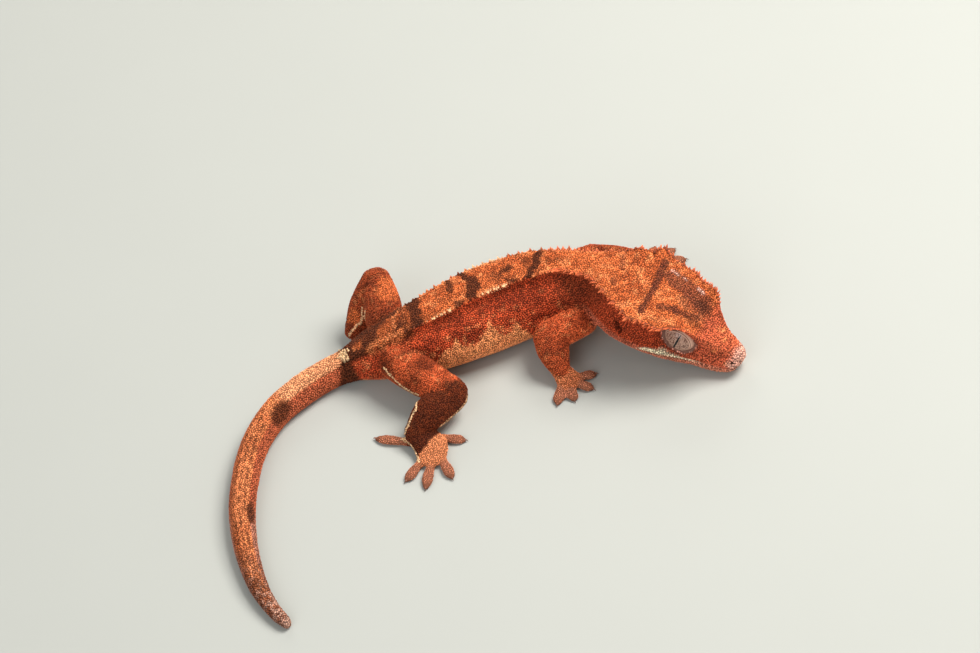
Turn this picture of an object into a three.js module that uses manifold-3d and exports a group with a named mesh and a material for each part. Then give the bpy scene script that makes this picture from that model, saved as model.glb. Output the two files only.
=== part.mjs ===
// A life-size crested gecko, still, lying on a flat floor with its head turned to its right.
// Millimetres, +Z up. The snout end points towards +X and the head turns towards -Y.
// The body is built whole from named sizes and then parted with thin cuts into named nodes.
import * as THREE from "three";
import { mergeVertices } from "three/addons/utils/BufferGeometryUtils.js";
import Module from "manifold-3d";

const wasm = await Module();
wasm.setup();

// Driving sizes

const partingGap = 0.34;
const floorLevel = 0;
const upward = new THREE.Vector3(0, 0, 1);

// The head's own frame: its origin lies inside the back of the skull, x runs to the snout.
const headOrigin = new THREE.Vector3(28.1, -6.6, 11.6);
const headYaw = THREE.MathUtils.degToRad(-36);
const headPitchDown = THREE.MathUtils.degToRad(18.5);
const headRollRight = THREE.MathUtils.degToRad(-1.2);

// Body sections, from the tail tip to the shoulders. Each row is the centre x, y, z, then
// the half width, the rise to the back and the depth to the belly, and how far out (share
// of the half width) and how high (share of the rise) the crest row stands.
const bodySections = [
  { at: [-47.9, -66.9, 1.0], half: 0.6, rise: 0.6, depth: 1.0, crestOut: 0.6, crestUp: 0.7 },
  { at: [-48.6, -65.6, 1.2], half: 1.2, rise: 1.1, depth: 1.2, crestOut: 0.6, crestUp: 0.8 },
  { at: [-50.6, -61.9, 1.5], half: 1.5, rise: 1.4, depth: 1.5, crestOut: 0.6, crestUp: 0.8 },
  { at: [-52.6, -55.9, 1.8], half: 1.9, rise: 1.8, depth: 1.8, crestOut: 0.6, crestUp: 0.8 },
  { at: [-53.8, -47.8, 2.1], half: 2.3, rise: 2.1, depth: 2.1, crestOut: 0.6, crestUp: 0.8 },
  { at: [-53.9, -38.5, 2.4], half: 2.6, rise: 2.4, depth: 2.4, crestOut: 0.6, crestUp: 0.82 },
  { at: [-52.6, -29.5, 2.6], half: 2.7, rise: 2.6, depth: 2.6, crestOut: 0.6, crestUp: 0.82 },
  { at: [-49.6, -19.7, 2.8], half: 2.8, rise: 2.8, depth: 2.8, crestOut: 0.6, crestUp: 0.82 },
  { at: [-44.6, -11.9, 3.0], half: 3.0, rise: 3.0, depth: 3.0, crestOut: 0.6, crestUp: 0.82 },
  { at: [-38.3, -6.9, 3.2], half: 3.1, rise: 3.1, depth: 3.2, crestOut: 0.6, crestUp: 0.82 },
  { at: [-33.2, -4.2, 3.4], half: 3.0, rise: 3.0, depth: 3.4, crestOut: 0.6, crestUp: 0.82 },
  { at: [-28.6, -3.0, 3.9], half: 3.2, rise: 3.2, depth: 3.9, crestOut: 0.6, crestUp: 0.85 },
  { at: [-22.5, -2.9, 5.6], half: 5.4, rise: 4.9, depth: 5.6, crestOut: 0.56, crestUp: 0.88 },
  { at: [-13.0, -2.4, 7.2], half: 7.3, rise: 7.1, depth: 7.2, crestOut: 0.5, crestUp: 0.92 },
  { at: [-1.0, 0.6, 8.0], half: 8.8, rise: 8.5, depth: 8.0, crestOut: 0.46, crestUp: 0.94 },
  { at: [9.5, 2.5, 8.6], half: 8.1, rise: 8.2, depth: 8.2, crestOut: 0.46, crestUp: 0.94 },
  { at: [17.6, 1.0, 8.8], half: 6.9, rise: 8.7, depth: 7.6, crestOut: 0.44, crestUp: 0.94 },
];

// Head and neck sections in the head's frame. x is the place along the head, and side and
// lift move the section's centre to the left and up. Then come the half width at the crest
// and its height, the height of the skull's mid line, the half width of the temple under the
// crest, the half width and height of the cheek, and the jaw's half width and depth.
// overhang is how far the skin under the crest is drawn in.
const headSections = [
  {
    x: -5.0, side: 0.6, lift: -2.3, crest: 3.9, crestZ: 4.4, top: 5.2, temple: 5.2,
    cheek: 6.4, cheekZ: -2.6, jaw: 4.2, depth: 8.4, overhang: 0.4,
  },
  {
    x: -1.5, side: 0.0, lift: -0.9, crest: 6.7, crestZ: 7.1, top: 7.0, temple: 6.1,
    cheek: 7.0, cheekZ: -1.6, jaw: 5.0, depth: 7.4, overhang: 1.0,
  },
  {
    x: 1.4, side: -0.3, lift: -0.6, crest: 8.8, crestZ: 7.2, top: 7.0, temple: 6.7,
    cheek: 7.7, cheekZ: -1.3, jaw: 5.5, depth: 6.9, overhang: 1.5,
  },
  {
    x: 3.8, side: -0.2, lift: -0.4, crest: 10.5, crestZ: 6.8, top: 6.9, temple: 7.1,
    cheek: 7.9, cheekZ: -1.4, jaw: 5.7, depth: 6.8, overhang: 1.9,
  },
  {
    x: 7.0, side: 0.0, lift: 0.0, crest: 9.2, crestZ: 6.1, top: 6.7, temple: 6.8,
    cheek: 7.8, cheekZ: -1.4, jaw: 5.8, depth: 6.6, overhang: 1.3,
  },
  {
    x: 11.0, side: 0.0, lift: 0.0, crest: 8.7, crestZ: 6.3, top: 6.3, temple: 5.9,
    cheek: 7.0, cheekZ: -1.5, jaw: 5.5, depth: 6.1, overhang: 1.1,
  },
  {
    x: 13.6, side: 0.0, lift: 0.0, crest: 6.9, crestZ: 7.2, top: 5.7, temple: 4.8,
    cheek: 6.1, cheekZ: -1.5, jaw: 5.0, depth: 5.7, overhang: 0.8,
  },
  {
    x: 16.0, side: 0.0, lift: 0.0, crest: 6.3, crestZ: 7.0, top: 5.0, temple: 4.5,
    cheek: 5.4, cheekZ: -1.3, jaw: 4.4, depth: 5.3, overhang: 0.6,
  },
  {
    x: 18.0, side: 0.0, lift: 0.0, crest: 4.6, crestZ: 4.8, top: 4.1, temple: 4.1,
    cheek: 4.9, cheekZ: -1.2, jaw: 3.9, depth: 4.9, overhang: 0.1,
  },
  {
    x: 20.8, side: 0.0, lift: 0.0, crest: 3.0, crestZ: 2.8, top: 3.1, temple: 3.3,
    cheek: 4.2, cheekZ: -1.0, jaw: 3.6, depth: 4.5, overhang: 0.0,
  },
  {
    x: 23.3, side: 0.0, lift: 0.0, crest: 2.3, crestZ: 1.9, top: 2.2, temple: 2.8,
    cheek: 3.5, cheekZ: -0.9, jaw: 3.1, depth: 3.9, overhang: 0.0,
  },
  {
    x: 25.4, side: 0.0, lift: 0.0, crest: 1.7, crestZ: 1.2, top: 1.5, temple: 2.1,
    cheek: 2.7, cheekZ: -0.7, jaw: 2.3, depth: 2.9, overhang: 0.0,
  },
  {
    x: 26.5, side: 0.0, lift: 0.0, crest: 0.9, crestZ: 0.4, top: 0.6, temple: 1.1,
    cheek: 1.3, cheekZ: -0.6, jaw: 0.9, depth: 1.4, overhang: 0.0,
  },
];

// Head details in the head's frame, for the left side; the right side mirrors y.
const eye = { x: 13.9, y: 3.9, z: 1.9, long: 3.25, out: 2.5, high: 3.0 };
const ear = { x: 2.2, y: 7.3, z: -0.1, long: 1.4, wide: 0.5, deep: 1.2 };
const nostril = { x: 24.9, y: 2.1, z: -0.2, radius: 0.42 };
const mouth = { cornerX: 6.5, cornerZ: -3.9, tipZ: -1.5 };

// Spines of the crest rows and of the brow: how far they stand out, their half width at the
// root, their spacing, the depth of the root and the shares of their lean.
const crestSpine = { height: 1.05, halfWidth: 0.42, spacing: 2.1, sunk: 0.7, outward: 0.75, upward: 0.75 };
const browSpine = { height: 0.75, halfWidth: 0.3, spacing: 1.0, sunk: 0.5, outward: 0.95, upward: 0.3 };

// Limb bones: each point is x, y, z, the half width and the half thickness of the flesh.
const limbs = {
  foreleg_right: {
    upper: [[19.0, -6.4, 7.6, 3.2, 3.6], [15.0, -8.0, 7.2, 3.2, 3.4], [11.6, -8.4, 6.6, 3.1, 3.0]],
    lower: [[11.6, -8.6, 6.4, 3.2, 3.0], [12.0, -11.6, 4.8, 3.2, 2.6], [12.6, -14.6, 2.6, 2.0, 1.6]],
    palm: [[12.6, -14.0, 2.0, 1.9, 1.4], [13.6, -15.8, 1.4, 2.5, 1.2], [14.2, -17.4, 1.1, 2.0, 0.9]],
    toes: [
      { from: [12.6, -15.0], to: [11.2, -10.6] },
      { from: [12.4, -16.6], to: [10.6, -21.8] },
      { from: [13.8, -17.4], to: [14.2, -21.6] },
      { from: [15.0, -16.8], to: [18.4, -19.4] },
      { from: [15.4, -15.6], to: [19.6, -15.2] },
    ],
  },
  foreleg_left: {
    upper: [[17.5, 6.0, 7.8, 3.0, 3.4], [20.4, 9.0, 7.6, 2.8, 3.0], [23.2, 11.2, 6.8, 2.5, 2.5]],
    lower: [[23.6, 11.2, 6.6, 2.5, 2.5], [28.4, 11.8, 4.6, 2.4, 2.3], [33.0, 12.2, 2.6, 1.6, 1.5]],
    palm: [[32.4, 12.2, 2.0, 1.6, 1.3], [34.8, 12.2, 1.3, 2.2, 1.1], [36.6, 12.2, 1.0, 1.7, 0.9]],
    toes: [
      { from: [34.6, 11.2], to: [34.6, 6.6] },
      { from: [36.0, 11.4], to: [39.4, 7.8] },
      { from: [36.8, 12.0], to: [42.0, 11.8] },
      { from: [36.4, 13.0], to: [40.2, 15.4] },
      { from: [35.0, 13.4], to: [36.2, 17.0] },
    ],
  },
  hindleg_right: {
    upper: [[-19.6, -6.0, 6.2, 4.0, 4.4], [-15.0, -12.2, 6.2, 4.0, 3.9], [-9.4, -18.2, 5.5, 3.4, 3.3]],
    lower: [[-9.6, -18.4, 5.3, 3.4, 3.3], [-14.2, -21.2, 4.3, 3.7, 2.9], [-17.7, -23.6, 2.7, 2.4, 1.8]],
    palm: [[-17.8, -24.0, 2.2, 2.4, 1.6], [-15.4, -27.0, 1.5, 3.4, 1.4], [-15.4, -30.4, 1.1, 2.9, 1.0]],
    toes: [
      { from: [-13.0, -25.0], to: [-8.2, -26.6] },
      { from: [-13.7, -30.2], to: [-12.2, -36.2] },
      { from: [-15.6, -30.8], to: [-17.8, -37.6] },
      { from: [-17.4, -30.2], to: [-21.4, -34.6] },
      { from: [-18.8, -24.9], to: [-26.0, -21.4] },
    ],
  },
  hindleg_left: {
    upper: [[-20.0, 0.4, 6.8, 3.8, 4.2], [-19.8, 6.4, 8.8, 3.8, 3.8], [-20.0, 11.4, 10.7, 3.0, 3.1]],
    lower: [[-20.4, 11.4, 10.5, 3.1, 3.1], [-23.6, 9.0, 6.8, 3.2, 2.8], [-26.4, 6.8, 2.8, 2.2, 1.8]],
    palm: [[-25.8, 7.4, 2.2, 2.0, 1.5], [-23.6, 10.2, 1.5, 2.7, 1.3], [-22.2, 12.4, 1.1, 2.2, 1.0]],
    toes: [
      { from: [-21.4, 9.8], to: [-16.8, 9.6] },
      { from: [-20.8, 11.6], to: [-16.8, 14.8] },
      { from: [-21.2, 12.8], to: [-18.4, 18.6] },
      { from: [-22.6, 13.0], to: [-21.6, 19.4] },
      { from: [-23.8, 11.6], to: [-25.0, 17.0] },
    ],
  },
};

// A toe along its length: share of the length, half width and half thickness.
const toeProfile = [
  [0.0, 0.95, 0.8],
  [0.25, 0.9, 0.76],
  [0.5, 1.2, 0.72],
  [0.72, 1.25, 0.62],
  [0.88, 0.9, 0.5],
  [1.0, 0.35, 0.3],
];
const toeLift = 0.5;

// Mesh helpers

// A closed geometry from rings of points with the same count, with a fan over each end.
function loftGeometry(rings) {
  const sides = rings[0].length;
  const points = rings.flat();
  const faces = [];
  for (let ring = 0; ring + 1 < rings.length; ring++) {
    for (let side = 0; side < sides; side++) {
      const a = ring * sides + side;
      const b = ring * sides + ((side + 1) % sides);
      faces.push(a, b, b + sides, a, b + sides, a + sides);
    }
  }
  for (const [ring, flip] of [[0, true], [rings.length - 1, false]]) {
    const middle = new THREE.Vector3();
    rings[ring].forEach((point) => middle.add(point));
    const centre = points.push(middle.divideScalar(sides)) - 1;
    for (let side = 0; side < sides; side++) {
      const a = ring * sides + side;
      const b = ring * sides + ((side + 1) % sides);
      faces.push(centre, ...(flip ? [b, a] : [a, b]));
    }
  }
  const geometry = new THREE.BufferGeometry().setFromPoints(points);
  geometry.setIndex(faces);
  return geometry;
}

// A manifold-3d solid from a closed geometry, turned outwards if it was inside out.
function solidFrom(geometry) {
  const bare = geometry.clone();
  bare.deleteAttribute("normal");
  bare.deleteAttribute("uv");
  const merged = mergeVertices(bare, 1e-4);
  const build = (index) => {
    const mesh = new wasm.Mesh({
      numProp: 3,
      vertProperties: new Float32Array(merged.attributes.position.array),
      triVerts: new Uint32Array(index),
    });
    return new wasm.Manifold(mesh);
  };
  const index = Array.from(merged.index.array);
  const solid = build(index);
  return solid.volume() >= 0 ? solid : build(index.reverse());
}

function geometryFrom(solid) {
  const mesh = solid.getMesh();
  const places = new Float32Array(mesh.numVert * 3);
  for (let i = 0; i < mesh.numVert; i++) {
    const start = i * mesh.numProp;
    places.set(mesh.vertProperties.subarray(start, start + 3), i * 3);
  }
  const geometry = new THREE.BufferGeometry();
  geometry.setAttribute("position", new THREE.BufferAttribute(places, 3));
  geometry.setIndex(new THREE.BufferAttribute(mesh.triVerts, 1));
  geometry.computeVertexNormals();
  return geometry;
}

const unionOf = (solids) => solids.reduce((joined, next) => joined.add(next));

// Keeps only the largest closed surface of a solid.
function largestBody(solid) {
  const bodies = solid.decompose().filter((body) => body.volume() > 0);
  return bodies.reduce((best, body) => (body.volume() > best.volume() ? body : best));
}

// Uniform Catmull-Rom value between rows of numbers, at a whole-and-fraction row place.
function splineRow(rows, place) {
  const last = rows.length - 1;
  const start = Math.min(Math.floor(place), last - 1);
  const part = place - start;
  const row = (i) => rows[Math.max(0, Math.min(last, i))];
  return rows[0].map((_, column) => {
    const [a, b, c, d] = [row(start - 1), row(start), row(start + 1), row(start + 2)].map((r) => r[column]);
    return (
      0.5 * (2 * b + (c - a) * part + (2 * a - 5 * b + 4 * c - d) * part ** 2 + (3 * b - a - 3 * c + d) * part ** 3)
    );
  });
}

// Body, neck and head as one loft

const headTurn = new THREE.Matrix4()
  .makeRotationZ(headYaw)
  .multiply(new THREE.Matrix4().makeRotationY(headPitchDown))
  .multiply(new THREE.Matrix4().makeRotationX(headRollRight));
const headFrame = new THREE.Matrix4().makeTranslation(headOrigin).multiply(headTurn);
const headPoint = (x, y, z) => new THREE.Vector3(x, y, z).applyMatrix4(headFrame);

// Rows of the loft: centre, roll, then the nine section sizes.
function bodyRow(section) {
  const { at, half, rise, depth, crestOut, crestUp } = section;
  return [
    ...at, 0, half * crestOut, rise * crestUp, rise, half * 0.86, half, 0, half * 0.62, depth, 0,
  ];
}

function headRow(section) {
  const { x, side, lift, crest, crestZ, top, temple, cheek, cheekZ, jaw, depth, overhang } = section;
  const centre = headPoint(x, side, lift);
  const heights = { crest: crestZ - lift, top: top - lift, cheek: cheekZ - lift, low: depth + lift };
  return [
    ...centre.toArray(), headRollRight,
    crest, heights.crest, heights.top, temple, cheek, heights.cheek, jaw, heights.low, overhang,
  ];
}

const axisRows = [...bodySections.map(bodyRow), ...headSections.map(headRow)];
const lastPlace = axisRows.length - 1;
const neckPlace = bodySections.length;

// Half of a section, from the middle of the back round to the middle of the belly.
function halfSection(row, grow) {
  const [, , , , crest, crestZ, top, temple, cheek, cheekZ, jaw, depth, overhang] = row;
  const low = -depth;
  const points = [
    [0, top],
    [crest * 0.55, top + (crestZ - top) * 0.3],
    [crest, crestZ],
    [crest + 0.1 - overhang, crestZ - 0.22 * (crestZ - cheekZ)],
    [temple, crestZ - 0.5 * (crestZ - cheekZ)],
    [cheek, cheekZ],
    [cheek * 0.95, cheekZ + (low - cheekZ) * 0.45],
    [jaw, low + (cheekZ - low) * 0.1],
    [jaw * 0.5, low],
    [0, low],
  ];
  return points.map(([out, up]) => {
    const reach = Math.hypot(out, up) || 1;
    return [out * (1 + grow / reach), up * (1 + grow / reach)];
  });
}

// The frame of the loft at a place: its centre, forward, left and up directions.
function axisFrame(place) {
  const row = splineRow(axisRows, place);
  const step = 0.02;
  const before = splineRow(axisRows, Math.max(0, place - step));
  const after = splineRow(axisRows, Math.min(lastPlace, place + step));
  const forward = new THREE.Vector3(...after.slice(0, 3)).sub(new THREE.Vector3(...before.slice(0, 3)));
  forward.normalize();
  const left = upward.clone().cross(forward).normalize();
  const up = forward.clone().cross(left);
  left.applyAxisAngle(forward, row[3]);
  up.applyAxisAngle(forward, row[3]);
  return { row, centre: new THREE.Vector3(...row.slice(0, 3)), forward, left, up };
}

function axisPoint(frame, out, up) {
  const point = frame.centre.clone();
  point.addScaledVector(frame.left, out).addScaledVector(frame.up, up);
  point.z = Math.max(point.z, floorLevel);
  return point;
}

function axisRing(place, grow = 0) {
  const frame = axisFrame(place);
  const half = halfSection(frame.row, grow);
  const left = half.map(([out, up]) => axisPoint(frame, out, up));
  const right = half.slice(1, -1).reverse().map(([out, up]) => axisPoint(frame, -out, up));
  return [...left, ...right];
}

// Places along the loft with about the given step in millimetres between rings.
function axisPlaces(fromPlace, toPlace, step) {
  const places = [fromPlace];
  let previous = axisFrame(fromPlace).centre;
  let place = fromPlace;
  while (place < toPlace) {
    place = Math.min(toPlace, place + 0.05);
    const centre = axisFrame(place).centre;
    if (centre.distanceTo(previous) >= step || place === toPlace) {
      places.push(place);
      previous = centre;
    }
  }
  return places;
}

function axisLoft(fromPlace, toPlace, step, grow = 0) {
  return solidFrom(loftGeometry(axisPlaces(fromPlace, toPlace, step).map((place) => axisRing(place, grow))));
}

// Thin cuts

// A big box whose one face passes through a point, filling the side the direction shows.
function sideOf(point, direction, size = 160) {
  const box = new THREE.BoxGeometry(size, size, size);
  box.translate(0, 0, size / 2);
  const turn = new THREE.Quaternion().setFromUnitVectors(upward, direction.clone().normalize());
  box.applyQuaternion(turn);
  box.translate(...point.toArray());
  return solidFrom(box);
}

function keepAhead(solid, frame) {
  const point = frame.centre.clone().addScaledVector(frame.forward, partingGap / 2);
  return solid.intersect(sideOf(point, frame.forward));
}

function keepBehind(solid, frame) {
  const point = frame.centre.clone().addScaledVector(frame.forward, -partingGap / 2);
  return solid.intersect(sideOf(point, frame.forward.clone().negate()));
}

// Spines

// A tapered four-sided spine rooted under a surface point, leaning out along a direction.
function spine(point, direction, along, size) {
  const out = direction.clone().normalize();
  const side = along.clone().addScaledVector(out, -along.dot(out)).normalize();
  const across = out.clone().cross(side);
  const base = point.clone().addScaledVector(out, -size.sunk);
  const ring = (centre, width) =>
    [[1, 0], [0, 1], [-1, 0], [0, -1]].map(([a, b]) =>
      centre.clone().addScaledVector(side, a * width).addScaledVector(across, b * width),
    );
  const middle = point.clone().addScaledVector(out, size.height * 0.35);
  const tip = point.clone().addScaledVector(out, size.height);
  return solidFrom(
    loftGeometry([ring(base, size.halfWidth), ring(middle, size.halfWidth * 0.7), ring(tip, size.halfWidth * 0.18)]),
  );
}

// A row of spines at even steps along one side's crest, between two places of the loft.
function spineRow(fromPlace, toPlace, side, size) {
  return axisPlaces(fromPlace, toPlace, size.spacing).slice(1, -1).map((place) => {
    const frame = axisFrame(place);
    const [crest, crestZ] = frame.row.slice(4, 6);
    const point = axisPoint(frame, side * crest, crestZ);
    const out = frame.left.clone().multiplyScalar(side * size.outward).addScaledVector(frame.up, size.upward);
    return spine(point, out, frame.forward, size);
  });
}

const spineRows = (fromPlace, toPlace, size) =>
  [1, -1].flatMap((side) => spineRow(fromPlace, toPlace, side, size));

// Head with jaw, eyes, ears and nostrils

function ball(centre, radii, detail = [14, 10]) {
  const sphere = new THREE.SphereGeometry(1, ...detail);
  sphere.scale(...radii);
  sphere.applyMatrix4(headTurn);
  sphere.translate(...centre.toArray());
  return solidFrom(sphere);
}

const eyeSolid = (side, grow = 0) =>
  ball(
    headPoint(eye.x, side * eye.y, eye.z),
    [eye.long + grow, eye.out + grow, eye.high + grow],
    [20, 14],
  );

function earHollow(side) {
  return ball(headPoint(ear.x, side * ear.y, ear.z), [ear.wide, ear.deep, ear.long], [8, 6]);
}

const nostrilHollow = (side) =>
  ball(headPoint(nostril.x, side * nostril.y, nostril.z), Array(3).fill(nostril.radius), [8, 6]);

// The mouth's cut: a thin slab along the lips, and one down behind the corner of the jaw.
function mouthSlabs(thickness) {
  const length = 30;
  const slope = Math.atan2(mouth.tipZ - mouth.cornerZ, 26.5 - mouth.cornerX);
  const lips = new THREE.BoxGeometry(length, 40, thickness);
  lips.translate(length / 2, 0, 0);
  lips.rotateY(-slope);
  lips.translate(mouth.cornerX, 0, mouth.cornerZ);
  lips.applyMatrix4(headFrame);
  const hinge = new THREE.BoxGeometry(thickness, 40, 12);
  hinge.translate(0, 0, -6 + thickness / 2);
  hinge.rotateY(0.35);
  hinge.translate(mouth.cornerX, 0, mouth.cornerZ);
  hinge.applyMatrix4(headFrame);
  return solidFrom(lips).add(solidFrom(hinge));
}

// Limbs

// A limb length with rounded ends, swept through its points.
function limbLength(points, grow = 0, sides = 10, steps = 6) {
  const rings = [];
  const last = points.length - 1;
  const at = (place) => splineRow(points, place);
  const ringAt = (place, shrink, push) => {
    const row = at(place);
    const before = at(Math.max(0, place - 0.05));
    const after = at(Math.min(last, place + 0.05));
    const forward = new THREE.Vector3(...after.slice(0, 3)).sub(new THREE.Vector3(...before.slice(0, 3)));
    forward.normalize();
    const left = upward.clone().cross(forward).normalize();
    const up = forward.clone().cross(left);
    const centre = new THREE.Vector3(...row.slice(0, 3)).addScaledVector(forward, push);
    return Array.from({ length: sides }, (_, i) => {
      const turn = (2 * Math.PI * i) / sides;
      const point = centre
        .clone()
        .addScaledVector(left, (row[3] + grow) * shrink * Math.sin(turn))
        .addScaledVector(up, (row[4] + grow) * shrink * Math.cos(turn));
      point.z = Math.max(point.z, floorLevel);
      return point;
    });
  };
  const startReach = (points[0][3] + points[0][4]) / 2 + grow;
  const endReach = (points[last][3] + points[last][4]) / 2 + grow;
  rings.push(ringAt(0, 0.3, -startReach * 0.9), ringAt(0, 0.75, -startReach * 0.6));
  for (let i = 0; i <= steps; i++) rings.push(ringAt((last * i) / steps, 1, 0));
  rings.push(ringAt(last, 0.75, endReach * 0.6), ringAt(last, 0.3, endReach * 0.9));
  return solidFrom(loftGeometry(rings));
}

function toeSolid({ from, to }) {
  const start = new THREE.Vector3(...from, toeLift);
  const end = new THREE.Vector3(...to, toeLift);
  const forward = end.clone().sub(start).normalize();
  const left = upward.clone().cross(forward);
  const rings = toeProfile.map(([share, halfWidth, halfThick]) => {
    const centre = start.clone().lerp(end, share);
    centre.z = halfThick;
    return Array.from({ length: 8 }, (_, i) => {
      const turn = (2 * Math.PI * (i + 0.5)) / 8;
      const point = centre.clone().addScaledVector(left, halfWidth * Math.sin(turn) * 1.08);
      point.z = Math.max(floorLevel, point.z + halfThick * Math.cos(turn) * 1.08);
      return point;
    });
  });
  return solidFrom(loftGeometry(rings));
}

// Assembly

const colours = { flesh: 0x9a3a1c, back: 0xc8652e, eye: 0x8d7468 };
const gecko = new THREE.Group();

function addNode(name, solid, colour, roughness = 0.75) {
  const material = new THREE.MeshStandardMaterial({ color: colour, roughness, metalness: 0 });
  const mesh = new THREE.Mesh(geometryFrom(largestBody(solid)), material);
  mesh.name = name;
  gecko.add(mesh);
}

const tailRootPlace = 11.3;
const tailMiddlePlace = 8.0;
const tailTipPlace = 4.5;
const shoulderPlace = 15.75;
const skullPlace = neckPlace + 0.9;
const crestStartPlace = 12.4;
const browPlace = neckPlace + 5.4;
const snoutPlace = neckPlace + 7.5;

const frames = {
  tailTip: axisFrame(tailTipPlace),
  tailMiddle: axisFrame(tailMiddlePlace),
  tailRoot: axisFrame(tailRootPlace),
  shoulder: axisFrame(shoulderPlace),
  skull: axisFrame(skullPlace),
};

addNode("tail_tip", keepBehind(axisLoft(0, tailTipPlace + 0.6, 3), frames.tailTip), colours.back);
addNode(
  "tail_middle",
  keepAhead(keepBehind(axisLoft(tailTipPlace - 0.6, tailMiddlePlace + 0.6, 3), frames.tailMiddle), frames.tailTip),
  colours.back,
);
addNode(
  "tail_base",
  keepAhead(keepBehind(axisLoft(tailMiddlePlace - 0.6, tailRootPlace + 0.6, 3), frames.tailRoot), frames.tailMiddle),
  colours.back,
);

const torso = unionOf([
  axisLoft(tailRootPlace - 0.6, shoulderPlace + 0.6, 3),
  ...spineRows(crestStartPlace, shoulderPlace + 0.1, crestSpine),
]);
addNode("torso", keepAhead(keepBehind(torso, frames.shoulder), frames.tailRoot), colours.flesh);

const neck = unionOf([
  axisLoft(shoulderPlace - 0.6, skullPlace + 0.6, 2),
  ...spineRows(shoulderPlace, skullPlace + 0.1, crestSpine),
]);
addNode("neck", keepAhead(keepBehind(neck, frames.skull), frames.shoulder), colours.flesh);

const wholeHead = keepAhead(
  unionOf([
    axisLoft(skullPlace - 0.6, lastPlace, 1.6),
    ...spineRows(skullPlace, browPlace, crestSpine),
    ...spineRows(browPlace, snoutPlace, browSpine),
  ]),
  frames.skull,
);
const hollows = unionOf([1, -1].flatMap((side) => [eyeSolid(side, partingGap), earHollow(side), nostrilHollow(side)]));
const headBodies = wholeHead
  .subtract(hollows)
  .subtract(mouthSlabs(partingGap))
  .decompose()
  .sort((a, b) => b.volume() - a.volume());
addNode("head", headBodies[0], colours.back);
addNode("jaw", headBodies[1], colours.flesh);
addNode("eye_left", eyeSolid(1), colours.eye, 0.15);
addNode("eye_right", eyeSolid(-1), colours.eye, 0.15);

const trunkClear = axisLoft(tailRootPlace - 0.9, skullPlace + 0.9, 3, partingGap);
for (const [limb, { upper, lower, palm, toes }] of Object.entries(limbs)) {
  const upperClear = limbLength(upper, partingGap);
  const lowerClear = limbLength(lower, partingGap);
  const foot = unionOf([limbLength(palm, 0, 10, 4), ...toes.map(toeSolid)]);
  addNode(`${limb}_upper`, limbLength(upper).subtract(trunkClear), colours.flesh);
  addNode(`${limb}_lower`, limbLength(lower).subtract(upperClear).subtract(trunkClear), colours.flesh);
  addNode(`${limb}_foot`, foot.subtract(lowerClear).subtract(upperClear).subtract(trunkClear), colours.back);
}

// The origin goes to the middle of the bounding box at floor level.
const reach = new THREE.Box3().setFromObject(gecko);
const middle = reach.getCenter(new THREE.Vector3());
gecko.children.forEach((mesh) => mesh.geometry.translate(-middle.x, -middle.y, -reach.min.z));

export default gecko;
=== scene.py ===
"""Looks of a still, life-size crested gecko lying on a flat floor.

Shapes are worked out in millimetres in the pose's own frame, where the body lies along X and
the floor is z = 0, and are moved to the solids' frame in metres when a mesh is made.
"""

import logging
import math
from dataclasses import dataclass, field
from enum import Enum, IntEnum

import bmesh
import bpy
import numpy as np
from mathutils import Matrix, Vector
from mathutils.bvhtree import BVHTree
from mathutils.kdtree import KDTree


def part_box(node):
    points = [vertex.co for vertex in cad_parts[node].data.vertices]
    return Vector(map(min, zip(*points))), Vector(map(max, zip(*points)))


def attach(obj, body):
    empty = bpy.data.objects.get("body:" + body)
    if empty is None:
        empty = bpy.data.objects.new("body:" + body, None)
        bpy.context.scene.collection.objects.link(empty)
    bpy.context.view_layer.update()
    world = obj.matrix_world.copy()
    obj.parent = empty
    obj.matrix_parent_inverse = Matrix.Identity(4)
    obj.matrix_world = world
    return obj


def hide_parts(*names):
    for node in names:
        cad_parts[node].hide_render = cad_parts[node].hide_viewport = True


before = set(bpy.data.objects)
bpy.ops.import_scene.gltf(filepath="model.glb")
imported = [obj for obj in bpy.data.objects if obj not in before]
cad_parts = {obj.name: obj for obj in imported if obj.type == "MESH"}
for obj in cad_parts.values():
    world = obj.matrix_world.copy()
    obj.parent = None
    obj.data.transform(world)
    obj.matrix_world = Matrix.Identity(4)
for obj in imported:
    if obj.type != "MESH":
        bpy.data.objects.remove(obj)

logging.basicConfig(level=logging.INFO, format="%(message)s")
LOG = logging.getLogger("gecko")

MILLIMETRE = 0.001

Array = np.ndarray
Piece = bpy.types.Object
Material = bpy.types.Material
NodeTree = bpy.types.NodeTree
Node = bpy.types.Node
Socket = bpy.types.NodeSocket
Place = tuple[float, float]
Point = tuple[float, float, float]
Colour = tuple[int, int, int]
Faces = list[tuple[int, ...]]
Rows = list[tuple[float, ...]]


# Sizes that the solids share


@dataclass(frozen=True)
class BodySection:
    """One section of the body: its centre, half width, rise, depth and where the crest row stands."""

    at: Point
    half: float
    rise: float
    depth: float
    crest_out: float
    crest_up: float


@dataclass(frozen=True)
class HeadSection:
    """One section of the neck or head in the head's frame, at x along the head.

    side and lift move its centre to the left and up.
    """

    x: float
    side: float
    lift: float
    crest: float
    crest_z: float
    top: float
    temple: float
    cheek: float
    cheek_z: float
    jaw: float
    depth: float
    overhang: float


@dataclass(frozen=True)
class Limb:
    """A leg: rows of x, y, z, half width and half thickness, and its toes from root to tip."""

    upper: Rows
    lower: Rows
    palm: Rows
    toes: list[tuple[Place, Place]]


class Leg(Enum):
    """The four legs, by the start of their nodes' names."""

    FORE_RIGHT = "foreleg_right"
    FORE_LEFT = "foreleg_left"
    HIND_RIGHT = "hindleg_right"
    HIND_LEFT = "hindleg_left"


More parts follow.
